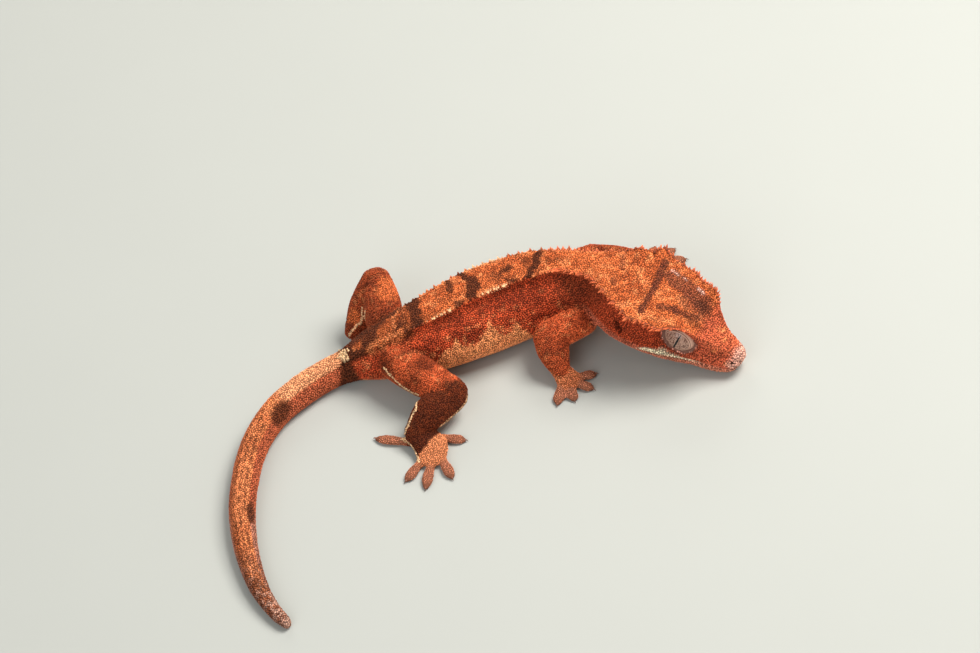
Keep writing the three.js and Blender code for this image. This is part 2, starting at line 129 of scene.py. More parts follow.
class Region(IntEnum):
    """Regions of the skin, each with a piece of scales of its own."""

    TAIL = 0
    BODY = 1
    HEAD = 2
    FORELEG_RIGHT = 3
    FORELEG_LEFT = 4
    HINDLEG_RIGHT = 5
    HINDLEG_LEFT = 6
    HIPS = 7
    NECK = 8


# Where the regions along the body start, as places along its axis. The tail lies before them.
REGION_STARTS = {Region.HEAD: 18.9, Region.NECK: 15.5, Region.BODY: 13.6, Region.HIPS: 10.8}

BODY_SECTIONS = [
    BodySection((-47.9, -66.9, 1.0), 0.6, 0.6, 1.0, 0.6, 0.7),
    BodySection((-48.6, -65.6, 1.2), 1.2, 1.1, 1.2, 0.6, 0.8),
    BodySection((-50.6, -61.9, 1.5), 1.5, 1.4, 1.5, 0.6, 0.8),
    BodySection((-52.6, -55.9, 1.8), 1.9, 1.8, 1.8, 0.6, 0.8),
    BodySection((-53.8, -47.8, 2.1), 2.3, 2.1, 2.1, 0.6, 0.8),
    BodySection((-53.9, -38.5, 2.4), 2.6, 2.4, 2.4, 0.6, 0.82),
    BodySection((-52.6, -29.5, 2.6), 2.7, 2.6, 2.6, 0.6, 0.82),
    BodySection((-49.6, -19.7, 2.8), 2.8, 2.8, 2.8, 0.6, 0.82),
    BodySection((-44.6, -11.9, 3.0), 3.0, 3.0, 3.0, 0.6, 0.82),
    BodySection((-38.3, -6.9, 3.2), 3.1, 3.1, 3.2, 0.6, 0.82),
    BodySection((-33.2, -4.2, 3.4), 3.0, 3.0, 3.4, 0.6, 0.82),
    BodySection((-28.6, -3.0, 3.9), 3.2, 3.2, 3.9, 0.6, 0.85),
    BodySection((-22.5, -2.9, 5.6), 5.4, 4.9, 5.6, 0.56, 0.88),
    BodySection((-13.0, -2.4, 7.2), 7.3, 7.1, 7.2, 0.5, 0.92),
    BodySection((-1.0, 0.6, 8.0), 8.8, 8.5, 8.0, 0.46, 0.94),
    BodySection((9.5, 2.5, 8.6), 8.1, 8.2, 8.2, 0.46, 0.94),
    BodySection((17.6, 1.0, 8.8), 6.9, 8.7, 7.6, 0.44, 0.94),
]

HEAD_SECTIONS = [
    HeadSection(-5.0, 0.6, -2.3, 3.9, 4.4, 5.2, 5.2, 6.4, -2.6, 4.2, 8.4, 0.4),
    HeadSection(-1.5, 0.0, -0.9, 6.7, 7.1, 7.0, 6.1, 7.0, -1.6, 5.0, 7.4, 1.0),
    HeadSection(1.4, -0.3, -0.6, 8.8, 7.2, 7.0, 6.7, 7.7, -1.3, 5.5, 6.9, 1.5),
    HeadSection(3.8, -0.2, -0.4, 10.5, 6.8, 6.9, 7.1, 7.9, -1.4, 5.7, 6.8, 1.9),
    HeadSection(7.0, 0.0, 0.0, 9.2, 6.1, 6.7, 6.8, 7.8, -1.4, 5.8, 6.6, 1.3),
    HeadSection(11.0, 0.0, 0.0, 8.7, 6.3, 6.3, 5.9, 7.0, -1.5, 5.5, 6.1, 1.1),
    HeadSection(13.6, 0.0, 0.0, 6.9, 7.2, 5.7, 4.8, 6.1, -1.5, 5.0, 5.7, 0.8),
    HeadSection(16.0, 0.0, 0.0, 6.3, 7.0, 5.0, 4.5, 5.4, -1.3, 4.4, 5.3, 0.6),
    HeadSection(18.0, 0.0, 0.0, 4.6, 4.8, 4.1, 4.1, 4.9, -1.2, 3.9, 4.9, 0.1),
    HeadSection(20.8, 0.0, 0.0, 3.0, 2.8, 3.1, 3.3, 4.2, -1.0, 3.6, 4.5, 0.0),
    HeadSection(23.3, 0.0, 0.0, 2.3, 1.9, 2.2, 2.8, 3.5, -0.9, 3.1, 3.9, 0.0),
    HeadSection(25.4, 0.0, 0.0, 1.7, 1.2, 1.5, 2.1, 2.7, -0.7, 2.3, 2.9, 0.0),
    HeadSection(26.5, 0.0, 0.0, 0.9, 0.4, 0.6, 1.1, 1.3, -0.6, 0.9, 1.4, 0.0),
]

LIMBS = {
    Leg.FORE_RIGHT: Limb(
        upper=[(19.0, -6.4, 7.6, 3.2, 3.6), (15.0, -8.0, 7.2, 3.2, 3.4), (11.6, -8.4, 6.6, 3.1, 3.0)],
        lower=[(11.6, -8.6, 6.4, 3.2, 3.0), (12.0, -11.6, 4.8, 3.2, 2.6), (12.6, -14.6, 2.6, 2.0, 1.6)],
        palm=[(12.6, -14.0, 2.0, 1.9, 1.4), (13.6, -15.8, 1.4, 2.5, 1.2), (14.2, -17.4, 1.1, 2.0, 0.9)],
        toes=[
            ((12.6, -15.0), (11.2, -10.6)),
            ((12.4, -16.6), (10.6, -21.8)),
            ((13.8, -17.4), (14.2, -21.6)),
            ((15.0, -16.8), (18.4, -19.4)),
            ((15.4, -15.6), (19.6, -15.2)),
        ],
    ),
    Leg.FORE_LEFT: Limb(
        upper=[(17.5, 6.0, 7.8, 3.0, 3.4), (20.4, 9.0, 7.6, 2.8, 3.0), (23.2, 11.2, 6.8, 2.5, 2.5)],
        lower=[(23.6, 11.2, 6.6, 2.5, 2.5), (28.4, 11.8, 4.6, 2.4, 2.3), (33.0, 12.2, 2.6, 1.6, 1.5)],
        palm=[(32.4, 12.2, 2.0, 1.6, 1.3), (34.8, 12.2, 1.3, 2.2, 1.1), (36.6, 12.2, 1.0, 1.7, 0.9)],
        toes=[
            ((34.6, 11.2), (34.6, 6.6)),
            ((36.0, 11.4), (39.4, 7.8)),
            ((36.8, 12.0), (42.0, 11.8)),
            ((36.4, 13.0), (40.2, 15.4)),
            ((35.0, 13.4), (36.2, 17.0)),
        ],
    ),
    Leg.HIND_RIGHT: Limb(
        upper=[(-19.6, -6.0, 6.2, 4.0, 4.4), (-15.0, -12.2, 6.2, 4.0, 3.9), (-9.4, -18.2, 5.5, 3.4, 3.3)],
        lower=[(-9.6, -18.4, 5.3, 3.4, 3.3), (-14.2, -21.2, 4.3, 3.7, 2.9), (-17.7, -23.6, 2.7, 2.4, 1.8)],
        palm=[(-17.8, -24.0, 2.2, 2.4, 1.6), (-15.4, -27.0, 1.5, 3.4, 1.4), (-15.4, -30.4, 1.1, 2.9, 1.0)],
        toes=[
            ((-13.0, -25.0), (-8.2, -26.6)),
            ((-13.7, -30.2), (-12.2, -36.2)),
            ((-15.6, -30.8), (-17.8, -37.6)),
            ((-17.4, -30.2), (-21.4, -34.6)),
            ((-18.8, -24.9), (-26.0, -21.4)),
        ],
    ),
    Leg.HIND_LEFT: Limb(
        upper=[(-20.0, 0.4, 6.8, 3.8, 4.2), (-19.8, 6.4, 8.8, 3.8, 3.8), (-20.0, 11.4, 10.7, 3.0, 3.1)],
        lower=[(-20.4, 11.4, 10.5, 3.1, 3.1), (-23.6, 9.0, 6.8, 3.2, 2.8), (-26.4, 6.8, 2.8, 2.2, 1.8)],
        palm=[(-25.8, 7.4, 2.2, 2.0, 1.5), (-23.6, 10.2, 1.5, 2.7, 1.3), (-22.2, 12.4, 1.1, 2.2, 1.0)],
        toes=[
            ((-21.4, 9.8), (-16.8, 9.6)),
            ((-20.8, 11.6), (-16.8, 14.8)),
            ((-21.2, 12.8), (-18.4, 18.6)),
            ((-22.6, 13.0), (-21.6, 19.4)),
            ((-23.8, 11.6), (-25.0, 17.0)),
        ],
    ),
}

# Share of a toe's length, half width and half thickness.
TOE_PROFILE = [
    (0.0, 0.95, 0.8), (0.25, 0.9, 0.76), (0.5, 1.2, 0.72),
    (0.72, 1.25, 0.62), (0.88, 0.9, 0.5), (1.0, 0.35, 0.3),
]


@dataclass(frozen=True)
class Pose:
    """Where the head stands in the pose's frame, and where its eye, ear, nostril and mouth are."""

    head_origin: Point = (28.1, -6.6, 11.6)
    head_yaw: float = -36.0
    head_pitch_down: float = 18.5
    head_roll: float = -1.2
    eye: Point = (13.9, 3.9, 1.9)
    eye_size: Point = (3.25, 2.5, 3.0)
    ear: Point = (2.2, 7.3, -0.1)
    nostril: Point = (24.9, 2.1, -0.2)
    mouth_corner: Place = (6.5, -3.9)
    mouth_tip: Place = (26.5, -1.5)

    def turn(self) -> Array:
        """The head's turn.

        Returns:
            A 3 by 3 matrix whose columns are the head's own x, y and z.
        """
        yaw, pitch, roll = (math.radians(a) for a in (self.head_yaw, self.head_pitch_down, self.head_roll))
        turn = Matrix.Rotation(yaw, 3, "Z") @ Matrix.Rotation(pitch, 3, "Y") @ Matrix.Rotation(roll, 3, "X")
        return np.array(turn)

    def from_head(self, points: Array) -> Array:
        """Moves points from the head's frame to the pose's.

        Args:
            points: Points in rows, in millimetres.

        Returns:
            The same points in the pose's frame.
        """
        return np.asarray(points) @ self.turn().T + np.array(self.head_origin)

    def to_head(self, points: Array) -> Array:
        """Moves points from the pose's frame to the head's.

        Args:
            points: Points in rows, in millimetres.

        Returns:
            The same points in the head's frame.
        """
        return (np.asarray(points) - np.array(self.head_origin)) @ self.turn()

    def shift(self) -> Array:
        """How far the solids' frame lies from the pose's, read from the right eye's node.

        Returns:
            The shift in millimetres, from the pose's frame to the solids'.
        """
        low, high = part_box("eye_right")
        middle = (np.array(low) + np.array(high)) / 2 / MILLIMETRE
        x, y, z = self.eye
        return middle - self.from_head(np.array([[x, -y, z]]))[0]


POSE = Pose()
SHIFT = POSE.shift()


# Numbers


def smoothstep(low: float, high: float, value: Array) -> Array:
    """A soft step.

    Args:
        low: Value where the step starts.
        high: Value where it ends; it may be under low, for a step down.
        value: The values to step.

    Returns:
        Numbers from 0 to 1.
    """
    part = np.clip((value - low) / (high - low), 0.0, 1.0)
    return part * part * (3.0 - 2.0 * part)


def noise(points: Array, size: float, seed: int, octaves: int = 2) -> Array:
    """Smooth lattice noise.

    Args:
        points: Points in rows, in millimetres.
        size: Size of the largest cells.
        seed: Number that picks the pattern.
        octaves: How many layers are added, each half the size of the last.

    Returns:
        Numbers from 0 to 1, one a point.
    """
    total = np.zeros(len(points))
    weights = 0.0
    for octave in range(octaves):
        cell = np.asarray(points) * (2**octave / size) + 17.3 * (seed + octave)
        base = np.floor(cell).astype(np.int64)
        part = cell - base
        part = part * part * (3.0 - 2.0 * part)
        layer = np.zeros(len(points))
        for corner in range(8):
            step = np.array([corner & 1, corner >> 1 & 1, corner >> 2 & 1])
            key = (base + step) @ np.array([73856093, 19349663, 83492791]) + (seed + octave) * 668265263
            key = (key ^ (key >> 13)) * 1274126177 & 0x7FFFFFFF
            value = (key ^ (key >> 16)) % 65536 / 65535.0
            layer += value * np.prod(np.where(step == 1, part, 1.0 - part), axis=1)
        weight = 0.5**octave
        total += weight * layer
        weights += weight
    return total / weights


def fray(points: Array, size: float, amount: float, seed: int) -> Array:
    """Shoves points about by noise, so that what is drawn over them gets a ragged edge.

    Args:
        points: Points in rows, in millimetres.
        size: Size of the noise.
        amount: Largest shove.
        seed: Number that picks the pattern.

    Returns:
        The points' x and y after the shove.
    """
    shove = np.stack([noise(points, size, seed), noise(points, size, seed + 50)], axis=1) - 0.5
    return np.asarray(points)[:, :2] + 2.0 * amount * shove


def catmull(four: list[Array], part: Array) -> Array:
    """Catmull-Rom values between the second and third of four rows.

    Args:
        four: The rows before, at, after and beyond.
        part: How far between the second and the third.

    Returns:
        The values.
    """
    a, b, c, d = four
    bend = (2 * a - 5 * b + 4 * c - d) * part**2 + (3 * b - a - 3 * c + d) * part**3
    return 0.5 * (2 * b + (c - a) * part + bend)


def spline(rows: Array, places: Array) -> Array:
    """Catmull-Rom values between rows.

    Args:
        rows: Rows of numbers.
        places: Whole-and-fraction places between them.

    Returns:
        One row of numbers for each place.
    """
    rows = np.asarray(rows, float)
    last = len(rows) - 1
    start = np.minimum(np.floor(places).astype(int), last - 1)
    part = (places - start)[:, None]
    return catmull([rows[np.clip(start + i, 0, last)] for i in (-1, 0, 1, 2)], part)


def unit(vectors: Array) -> Array:
    """Scales vectors to length 1.

    Args:
        vectors: Vectors in rows.

    Returns:
        The same vectors at length 1.
    """
    return vectors / np.maximum(np.linalg.norm(vectors, axis=-1, keepdims=True), 1e-9)


def linear(colour: Colour) -> Array:
    """Turns a screen colour into a linear one.

    Args:
        colour: Red, green and blue from 0 to 255.

    Returns:
        Red, green and blue from 0 to 1, linear.
    """
    share = np.array(colour) / 255.0
    return np.where(share <= 0.04045, share / 12.92, ((share + 0.055) / 1.055) ** 2.4)


# Meshes


def row_frame(points: Array) -> Array:
    """Moves points to the solids' frame.

    Args:
        points: Points in rows, millimetres, in the pose's frame.

    Returns:
        The points in metres in the solids' frame.
    """
    return (np.asarray(points) + SHIFT) * MILLIMETRE


def new_object(name: str, data: bpy.types.ID) -> Piece:
    """Makes an object and puts it in the scene.

    Args:
        name: Its name.
        data: Its mesh, light or camera.

    Returns:
        The object.
    """
    item = bpy.data.objects.new(name, data)
    bpy.context.scene.collection.objects.link(item)
    return item


def smooth_object(name: str, points: list, faces: Faces) -> Piece:
    """Makes a smooth shaded mesh object from points in its own unit.

    Args:
        name: The object's name.
        points: Points in rows.
        faces: Corner numbers of each face.

    Returns:
        The object.
    """
    mesh = bpy.data.meshes.new(name)
    mesh.from_pydata(points, [], faces)
    mesh.shade_smooth()
    return new_object(name, mesh)


def add_attribute(piece: Piece, name: str, kind: str, values: Array) -> None:
    """Adds an attribute on the points.

    Args:
        piece: The object.
        name: The attribute's name.
        kind: FLOAT or FLOAT_VECTOR.
        values: Its values, one row a point.
    """
    attribute = piece.data.attributes.new(name, kind, "POINT")
    key = "value" if kind == "FLOAT" else "vector"
    attribute.data.foreach_set(key, np.asarray(values, np.float32).ravel())


def read_values(items: bpy.types.bpy_prop_collection, key: str, width: int, kind: type = np.float32) -> Array:
    """Reads one property of many items.

    Args:
        items: The items.
        key: The property's name.
        width: Numbers in each item's value.
        kind: Type of the numbers.

    Returns:
        One row an item.
    """
    values = np.empty(len(items) * width, kind)
    items.foreach_get(key, values)
    return values.reshape(-1, width)


def add_map(piece: Piece, name: str, places: Array) -> None:
    """Adds a UV map.

    Args:
        piece: The object.
        name: The map's name.
        places: U and V of each point.
    """
    corners = read_values(piece.data.loops, "vertex_index", 1, np.int32)[:, 0]
    layer = piece.data.uv_layers.new(name=name)
    layer.uv.foreach_set("vector", places[corners].astype(np.float32).ravel())


def point_tree(points: Array) -> KDTree:
    """A tree that finds the nearest of some points.

    Args:
        points: Points in rows.

    Returns:
        The tree.
    """
    tree = KDTree(len(points))
    for i, point in enumerate(points):
        tree.insert(point, i)
    tree.balance()
    return tree


def new_mesh(name: str, points: Array, faces: Faces) -> Piece:
    """Makes a mesh object from points in the pose's frame.

    Args:
        name: The piece's name.
        points: Points in rows, in millimetres.
        faces: Corner numbers of each face.

    Returns:
        The new object, smooth shaded.
    """
    return smooth_object(name, row_frame(points).tolist(), faces)


def loft_faces(rings: int, sides: int, first: int = 0) -> Faces:
    """Faces of a closed loft with a fan over each end.

    Args:
        rings: Number of rings.
        sides: Points in a ring.
        first: Number of the first point.

    Returns:
        Faces, for the rings' points followed by the two end centres.
    """
    faces: Faces = []
    for ring in range(rings - 1):
        for side in range(sides):
            a = first + ring * sides + side
            b = first + ring * sides + (side + 1) % sides
            faces.append((a, b, b + sides, a + sides))
    start, end = first + rings * sides, first + rings * sides + 1
    for side in range(sides):
        after = (side + 1) % sides
        faces.append((start, first + after, first + side))
        low = first + (rings - 1) * sides
        faces.append((end, low + side, low + after))
    return faces


def loft_points(rings: Array) -> Array:
    """Points of a loft with the centres of its two ends.

    Args:
        rings: Array of rings by sides by 3.

    Returns:
        Points in rows.
    """
    return np.vstack([rings.reshape(-1, 3), rings[0].mean(0), rings[-1].mean(0)])


@dataclass
class Source:
    """Closed lofts that are joined into the skin."""

    points: list[Array] = field(default_factory=list)
    faces: Faces = field(default_factory=list)
    count: int = 0

    def add(self, rings: Array) -> None:
        """Adds one closed loft.

        Args:
            rings: Array of rings by sides by 3.
        """
        points = loft_points(rings)
        self.faces += loft_faces(rings.shape[0], rings.shape[1], self.count)
        self.points.append(points)
        self.count += len(points)


# The body's axis


@dataclass
class Axis:
    """Tail, body, neck and head as one loft along a bent axis."""

    samples: int = 80
    fine_samples: int = 1200
    roundness: float = 0.75

    def __post_init__(self) -> None:
        """Works out the rows and the length along them."""
        rows = []
        for s in BODY_SECTIONS:
            crest = (s.half * s.crest_out, s.rise * s.crest_up)
            rows.append([*s.at, 0.0, *crest, s.rise, s.half * 0.86, s.half, 0.0, s.half * 0.62, s.depth, 0.0])
        for h in HEAD_SECTIONS:
            centre = POSE.from_head(np.array([[h.x, h.side, h.lift]]))[0]
            roll = math.radians(POSE.head_roll)
            crest, top, cheek, low = h.crest_z - h.lift, h.top - h.lift, h.cheek_z - h.lift, h.depth + h.lift
            sizes = (h.crest, crest, top, h.temple, h.cheek, cheek, h.jaw, low, h.overhang)
            rows.append([*centre, roll, *sizes])
        self.rows = np.array(rows)
        self.last = len(rows) - 1
        self.fine = np.linspace(0, self.last, self.fine_samples)
        centres = spline(self.rows, self.fine)[:, :3]
        steps = np.linalg.norm(np.diff(centres, axis=0), axis=1)
        self.reach = np.concatenate([[0.0], np.cumsum(steps)])

    def places(self, start: float, end: float, step: float) -> Array:
        """Places with even steps along the axis.

        Args:
            start: First place.
            end: Last place.
            step: Distance between two places in millimetres.

        Returns:
            The places.
        """
        low, high = np.interp([start, end], self.fine, self.reach)
        count = max(2, int(round((high - low) / step)) + 1)
        return np.interp(np.linspace(low, high, count), self.reach, self.fine)

    def frames(self, places: Array) -> tuple[Array, ...]:
        """The loft's frame at some places.

        Args:
            places: Places along the axis.

        Returns:
            The rows, and the forward, left and up directions.
        """
        rows = spline(self.rows, places)
        ahead = spline(self.rows, np.minimum(places + 0.02, self.last))[:, :3]
        behind = spline(self.rows, np.maximum(places - 0.02, 0))[:, :3]
        forward = unit(ahead - behind)
        left = unit(np.cross([0.0, 0.0, 1.0], forward))
        up = np.cross(forward, left)
        cos, sin = np.cos(rows[:, 3:4]), np.sin(rows[:, 3:4])
        return rows, forward, left * cos + up * sin, up * cos - left * sin

    def section(self, rows: Array) -> Array:
        """Smooth closed sections.

        Args:
            rows: Rows of the loft.

        Returns:
            Out and up of each sample of each row's section.
        """
        crest, crest_z, top, temple, cheek, cheek_z, jaw, depth, overhang = rows[:, 4:13].T
        low = -depth
        half = [
            (0 * top, top),
            (crest * 0.55, top + (crest_z - top) * 0.3),
            (crest, crest_z),
            (crest + 0.1 - overhang, crest_z - 0.22 * (crest_z - cheek_z)),
            (temple, crest_z - 0.5 * (crest_z - cheek_z)),
            (cheek, cheek_z),
            (cheek * 0.95, cheek_z + (low - cheek_z) * 0.45),
            (jaw, low + (cheek_z - low) * 0.1),
            (jaw * 0.5, low),
            (0 * top, low),
        ]
        ring = half + [(-out, up) for out, up in half[-2:0:-1]]
        ring = np.array(ring).transpose(2, 0, 1)
        corners = ring.shape[1]
        place = np.arange(self.samples) * corners / self.samples
        start = np.floor(place).astype(int)
        part = (place - start)[None, :, None]
        four = [ring[:, (start + i) % corners] for i in (-1, 0, 1, 2)]
        plain = four[1] + (four[2] - four[1]) * part
        return self.roundness * catmull(four, part) + (1.0 - self.roundness) * plain

    def around(self) -> Array:
        """Where each sample stands round a section.

        Returns:
            0 at the middle of the back, 1 or -1 at the middle of the belly, positive on the left.
        """
        share = np.arange(self.samples) / self.samples * 2.0
        return np.where(share <= 1.0, share, share - 2.0)

    def rings(self, places: Array) -> Array:
        """The loft's rings.

        Args:
            places: Places along the axis.

        Returns:
            Array of places by samples by 3.
        """
        rows, _, left, up = self.frames(places)
        shape = self.section(rows)
        rings = rows[:, None, :3] + shape[:, :, :1] * left[:, None] + shape[:, :, 1:] * up[:, None]
        rings[:, :, 2] = np.maximum(rings[:, :, 2], 0.0)
        return rings

    def crest_line(self, places: Array, side: int, out: float, up: float) -> tuple[Array, Array]:
        """Points on a crest row with the way its spines lean.

        Args:
            places: Places along the axis.
            side: 1 for the left row, -1 for the right one.
            out: Share of the lean that goes outwards.
            up: Share of the lean that goes upwards.

        Returns:
            The points and the directions.
        """
        rows, _, left, upward = self.frames(places)
        points = rows[:, :3] + side * rows[:, 4:5] * left + rows[:, 5:6] * upward
        return points, unit(side * out * left + up * upward)


# Legs


@dataclass
class LegShape:
    """One leg's lofts: two lengths with round ends, the palm and the toes."""

    leg: Leg
    sides: int = 30
    steps: int = 26

    def length_rings(self, rows: Rows) -> Array:
        """A length with rounded ends, swept through its rows.

        Args:
            rows: Rows of x, y, z, half width and half thickness.

        Returns:
            Array of rings by sides by 3.
        """
        last = len(rows) - 1
        caps = np.array([0.3, 0.55, 0.78, 0.93])
        start_reach = (rows[0][3] + rows[0][4]) / 2
        end_reach = (rows[-1][3] + rows[-1][4]) / 2
        push = 0.95 * np.sqrt(1.0 - caps**2)
        places = np.concatenate([np.zeros(4), np.linspace(0, last, self.steps), np.full(4, last)])
        shrink = np.concatenate([caps, np.ones(self.steps), caps[::-1]])
        shove = np.concatenate([-push * start_reach, np.zeros(self.steps), push[::-1] * end_reach])
        return self.sweep(np.array(rows), places, shrink, shove)

    def sweep(self, rows: Array, places: Array, shrink: Array, shove: Array) -> Array:
        """Oval rings along rows, kept above the floor.

        Args:
            rows: Rows of x, y, z, half width and half thickness.
            places: Place of each ring.
            shrink: Share of the size of each ring.
            shove: How far each ring is moved along the sweep.

        Returns:
            Array of rings by sides by 3.
        """
        last = len(rows) - 1
        at = spline(rows, places)
        ahead = spline(rows, np.minimum(places + 0.05, last))[:, :3]
        behind = spline(rows, np.maximum(places - 0.05, 0))[:, :3]
        forward = unit(ahead - behind)
        left = unit(np.cross([0.0, 0.0, 1.0], forward))
        up = np.cross(forward, left)
        turn = 2 * np.pi * np.arange(self.sides) / self.sides
        wide = (at[:, 3] * shrink)[:, None] * np.sin(turn)[None]
        high = (at[:, 4] * shrink)[:, None] * np.cos(turn)[None]
        centre = at[:, :3] + forward * shove[:, None]
        rings = centre[:, None] + wide[:, :, None] * left[:, None] + high[:, :, None] * up[:, None]
        rings[:, :, 2] = np.maximum(rings[:, :, 2], 0.0)
        return rings

    def toe_rings(self, start: Place, end: Place) -> Array:
        """One toe lying on the floor, broad at its pad.

        Args:
            start: Its root's x and y.
            end: Its tip's x and y.

        Returns:
            Array of rings by sides by 3.
        """
        profile = np.array(TOE_PROFILE)
        share = np.linspace(0.0, 1.0, 30)
        half = np.interp(share, profile[:, 0], profile[:, 1])
        thick = np.interp(share, profile[:, 0], profile[:, 2])
        centre = np.array([*start, 0.0]) + share[:, None] * (np.array([*end, 0.0]) - np.array([*start, 0.0]))
        centre[:, 2] = thick
        forward = unit(centre[-1:] - centre[:1])[0]
        left = unit(np.cross([0.0, 0.0, 1.0], forward))
        turn = 2 * np.pi * (np.arange(16) + 0.5) / 16
        rings = centre[:, None] + (half[:, None] * np.sin(turn)[None])[:, :, None] * left
        rings[:, :, 2] = np.maximum(rings[:, :, 2] + thick[:, None] * np.cos(turn)[None], 0.0)
        return rings

    def lofts(self) -> list[tuple[float, Array]]:
        """All lofts of the leg.

        Returns:
            Pairs of the loft's first value along the leg and its rings.
        """
        limb = LIMBS[self.leg]
        lofts = [(0.0, self.length_rings(limb.upper)), (1.0, self.length_rings(limb.lower))]
        lofts.append((2.0, self.length_rings(limb.palm)))
        lofts += [(3.0, self.toe_rings(*toe)) for toe in limb.toes]
        return lofts


# Markings


@dataclass(frozen=True)
class Palette:
    """Screen colours of the gecko's skin."""

    back: Colour = (214, 110, 58)
    back_light: Colour = (240, 142, 86)
    back_dark: Colour = (166, 76, 36)
    # Dark colour of the saddles, also used for painted shadow under the crest.
    saddle_and_shadow: Colour = (98, 46, 22)
    crest: Colour = (216, 104, 62)
    crown: Colour = (128, 66, 44)
    stripe: Colour = (112, 54, 34)
    snout: Colour = (204, 98, 66)
    # Pale pink of the snout's tip and the lids, also used for painted highlights on the crown.
    snout_tip_and_highlight: Colour = (226, 170, 150)
    cheek: Colour = (184, 72, 38)
    lip: Colour = (255, 238, 200)
    jaw: Colour = (206, 128, 100)
    flank: Colour = (196, 78, 42)
    flank_dark: Colour = (136, 48, 22)
    flank_light: Colour = (255, 164, 104)
    belly: Colour = (236, 156, 110)
    limb: Colour = (206, 92, 50)
    limb_dark: Colour = (86, 34, 10)
    foot: Colour = (238, 146, 96)
    toe: Colour = (212, 132, 98)
    cream: Colour = (244, 204, 156)
    bead: Colour = (250, 190, 140)
    tail_pale: Colour = (238, 160, 112)
    tail: Colour = (232, 138, 86)
    tail_red: Colour = (186, 94, 60)
    tail_pink: Colour = (196, 128, 104)
    tail_brown: Colour = (126, 70, 44)
    tail_end: Colour = (214, 166, 144)


PALETTE = Palette()


@dataclass(frozen=True)
class Blotch:
    """A stroke of colour on the skin: the x and y of its two ends, its half width and strength."""

    start: Place
    end: Place
    half: float
    strength: float = 1.0

    def cover(self, flat: Array, rough: Array) -> Array:
        """How far the stroke covers points.

        Args:
            flat: The points' x and y in rows.
            rough: Noise from 0 to 1 that frays the stroke's edge.

        Returns:
            Numbers from 0 to 1.
        """
        a, b = np.array(self.start), np.array(self.end)
        along = np.clip(((flat - a) @ (b - a)) / max(float((b - a) @ (b - a)), 1e-9), 0.0, 1.0)
        distance = np.linalg.norm(flat - a - along[:, None] * (b - a), axis=1)
        edge = self.half * (0.45 + 1.1 * rough)
        return self.strength * smoothstep(1.15, 0.8, distance / edge)


DARK_BACK = [
    Blotch((-8.4, 4.8), (-4.0, 4.5), 0.6),
    Blotch((-3.9, 4.2), (-1.7, 1.1), 0.85),
    Blotch((-1.6, 1.0), (-0.8, -1.2), 1.15),
    Blotch((-0.9, -1.4), (-2.2, -3.5), 0.95),
    Blotch((-2.0, -0.6), (-2.8, -2.4), 0.7),
    Blotch((4.4, 1.2), (6.8, 2.3), 0.7, 0.9),
    Blotch((5.5, -0.7), (7.3, -1.7), 0.6, 0.9),
    Blotch((12.3, 4.6), (11.8, 1.9), 0.85),
    Blotch((11.8, 1.9), (10.3, 0.2), 0.75),
    Blotch((10.3, 0.2), (9.0, -1.6), 0.65),
    Blotch((-6.3, 2.3), (-5.8, -0.4), 0.6, 0.85),
    Blotch((-5.2, -3.6), (-4.2, -4.4), 0.75, 0.9),
    Blotch((-14.4, 4.0), (-13.6, -2.0), 1.5),
    Blotch((-13.6, -2.0), (-13.4, -6.6), 1.5),
    Blotch((14.8, 1.6), (16.6, 1.4), 0.8, 0.4),
]
LIGHT_PELVIS = [
    Blotch((-20.2, -3.2), (-18.2, -2.4), 1.7),
    Blotch((-17.4, -1.6), (-16.8, -1.0), 0.9),
    Blotch((-23.6, -5.8), (-16.8, -6.0), 0.9),
    Blotch((-26.8, -3.2), (-25.8, -3.6), 0.8),
    Blotch((-21.0, 2.2), (-17.5, 3.0), 1.1),
]
# Upper edge of the pale scales low on the right flank: x, then z.
PALE_FLANK_TOP = [
    (-13.0, 3.0), (-11.5, 6.2), (-10.3, 7.2), (-8.6, 9.0), (-7.6, 8.4), (-6.7, 10.8), (-5.6, 8.4),
    (-4.1, 8.0), (-2.2, 8.7), (-0.6, 10.3), (0.5, 12.0), (1.4, 10.4), (2.0, 9.2), (3.2, 8.0),
    (4.6, 8.3), (5.8, 9.9), (6.6, 7.8), (7.4, 7.2), (8.8, 3.5),
]
HEAD_DARK = [
    Blotch((3.8, 7.0), (4.9, 0.2), 0.75),
    Blotch((4.9, 0.2), (5.4, -6.7), 0.65),
    Blotch((7.9, -3.3), (10.6, -2.3), 0.8, 0.85),
    Blotch((10.6, -2.3), (15.1, -1.1), 0.9, 0.8),
    Blotch((-4.0, 3.5), (-2.6, 0.4), 0.6, 0.55),
    Blotch((-2.5, -2.9), (-2.4, -3.9), 0.6, 0.55),
]
HEAD_BROWN = [Blotch((6.8, 4.8), (14.6, 2.8), 2.0, 0.8), Blotch((12.0, 1.4), (16.5, 0.8), 1.7, 0.6)]
# Painted highlights: small glossy glints on the crown.
HEAD_PAINTED_HIGHLIGHTS = [
    Blotch((5.9, 6.1), (7.4, 5.9), 0.3, 0.9),
    Blotch((12.2, 5.2), (13.8, 4.7), 0.3, 0.9),
    Blotch((8.6, 5.7), (9.4, 5.6), 0.25, 0.7),
]
LEFT_KNEE_PALE = [Blotch((-18.6, 6.2), (-17.6, 8.6), 1.9), Blotch((-26.4, 7.4), (-25.4, 6.4), 0.9)]

# The pale top of the right hind foot lies to the front of this line: x and y.
FOOT_EDGE_START = (-11.0, -23.5)
FOOT_EDGE_NORMAL = (0.682, -0.731)


def cover_all(strokes: list[Blotch], flat: Array, rough: Array) -> Array:
    """How far any of some strokes covers points.

    Args:
        strokes: The strokes.
        flat: The points' x and y in rows.
        rough: Noise from 0 to 1 that frays their edges.

    Returns:
        Numbers from 0 to 1.
    """
    cover = np.zeros(len(flat))
    for stroke in strokes:
        cover = np.maximum(cover, stroke.cover(flat, rough))
    return cover


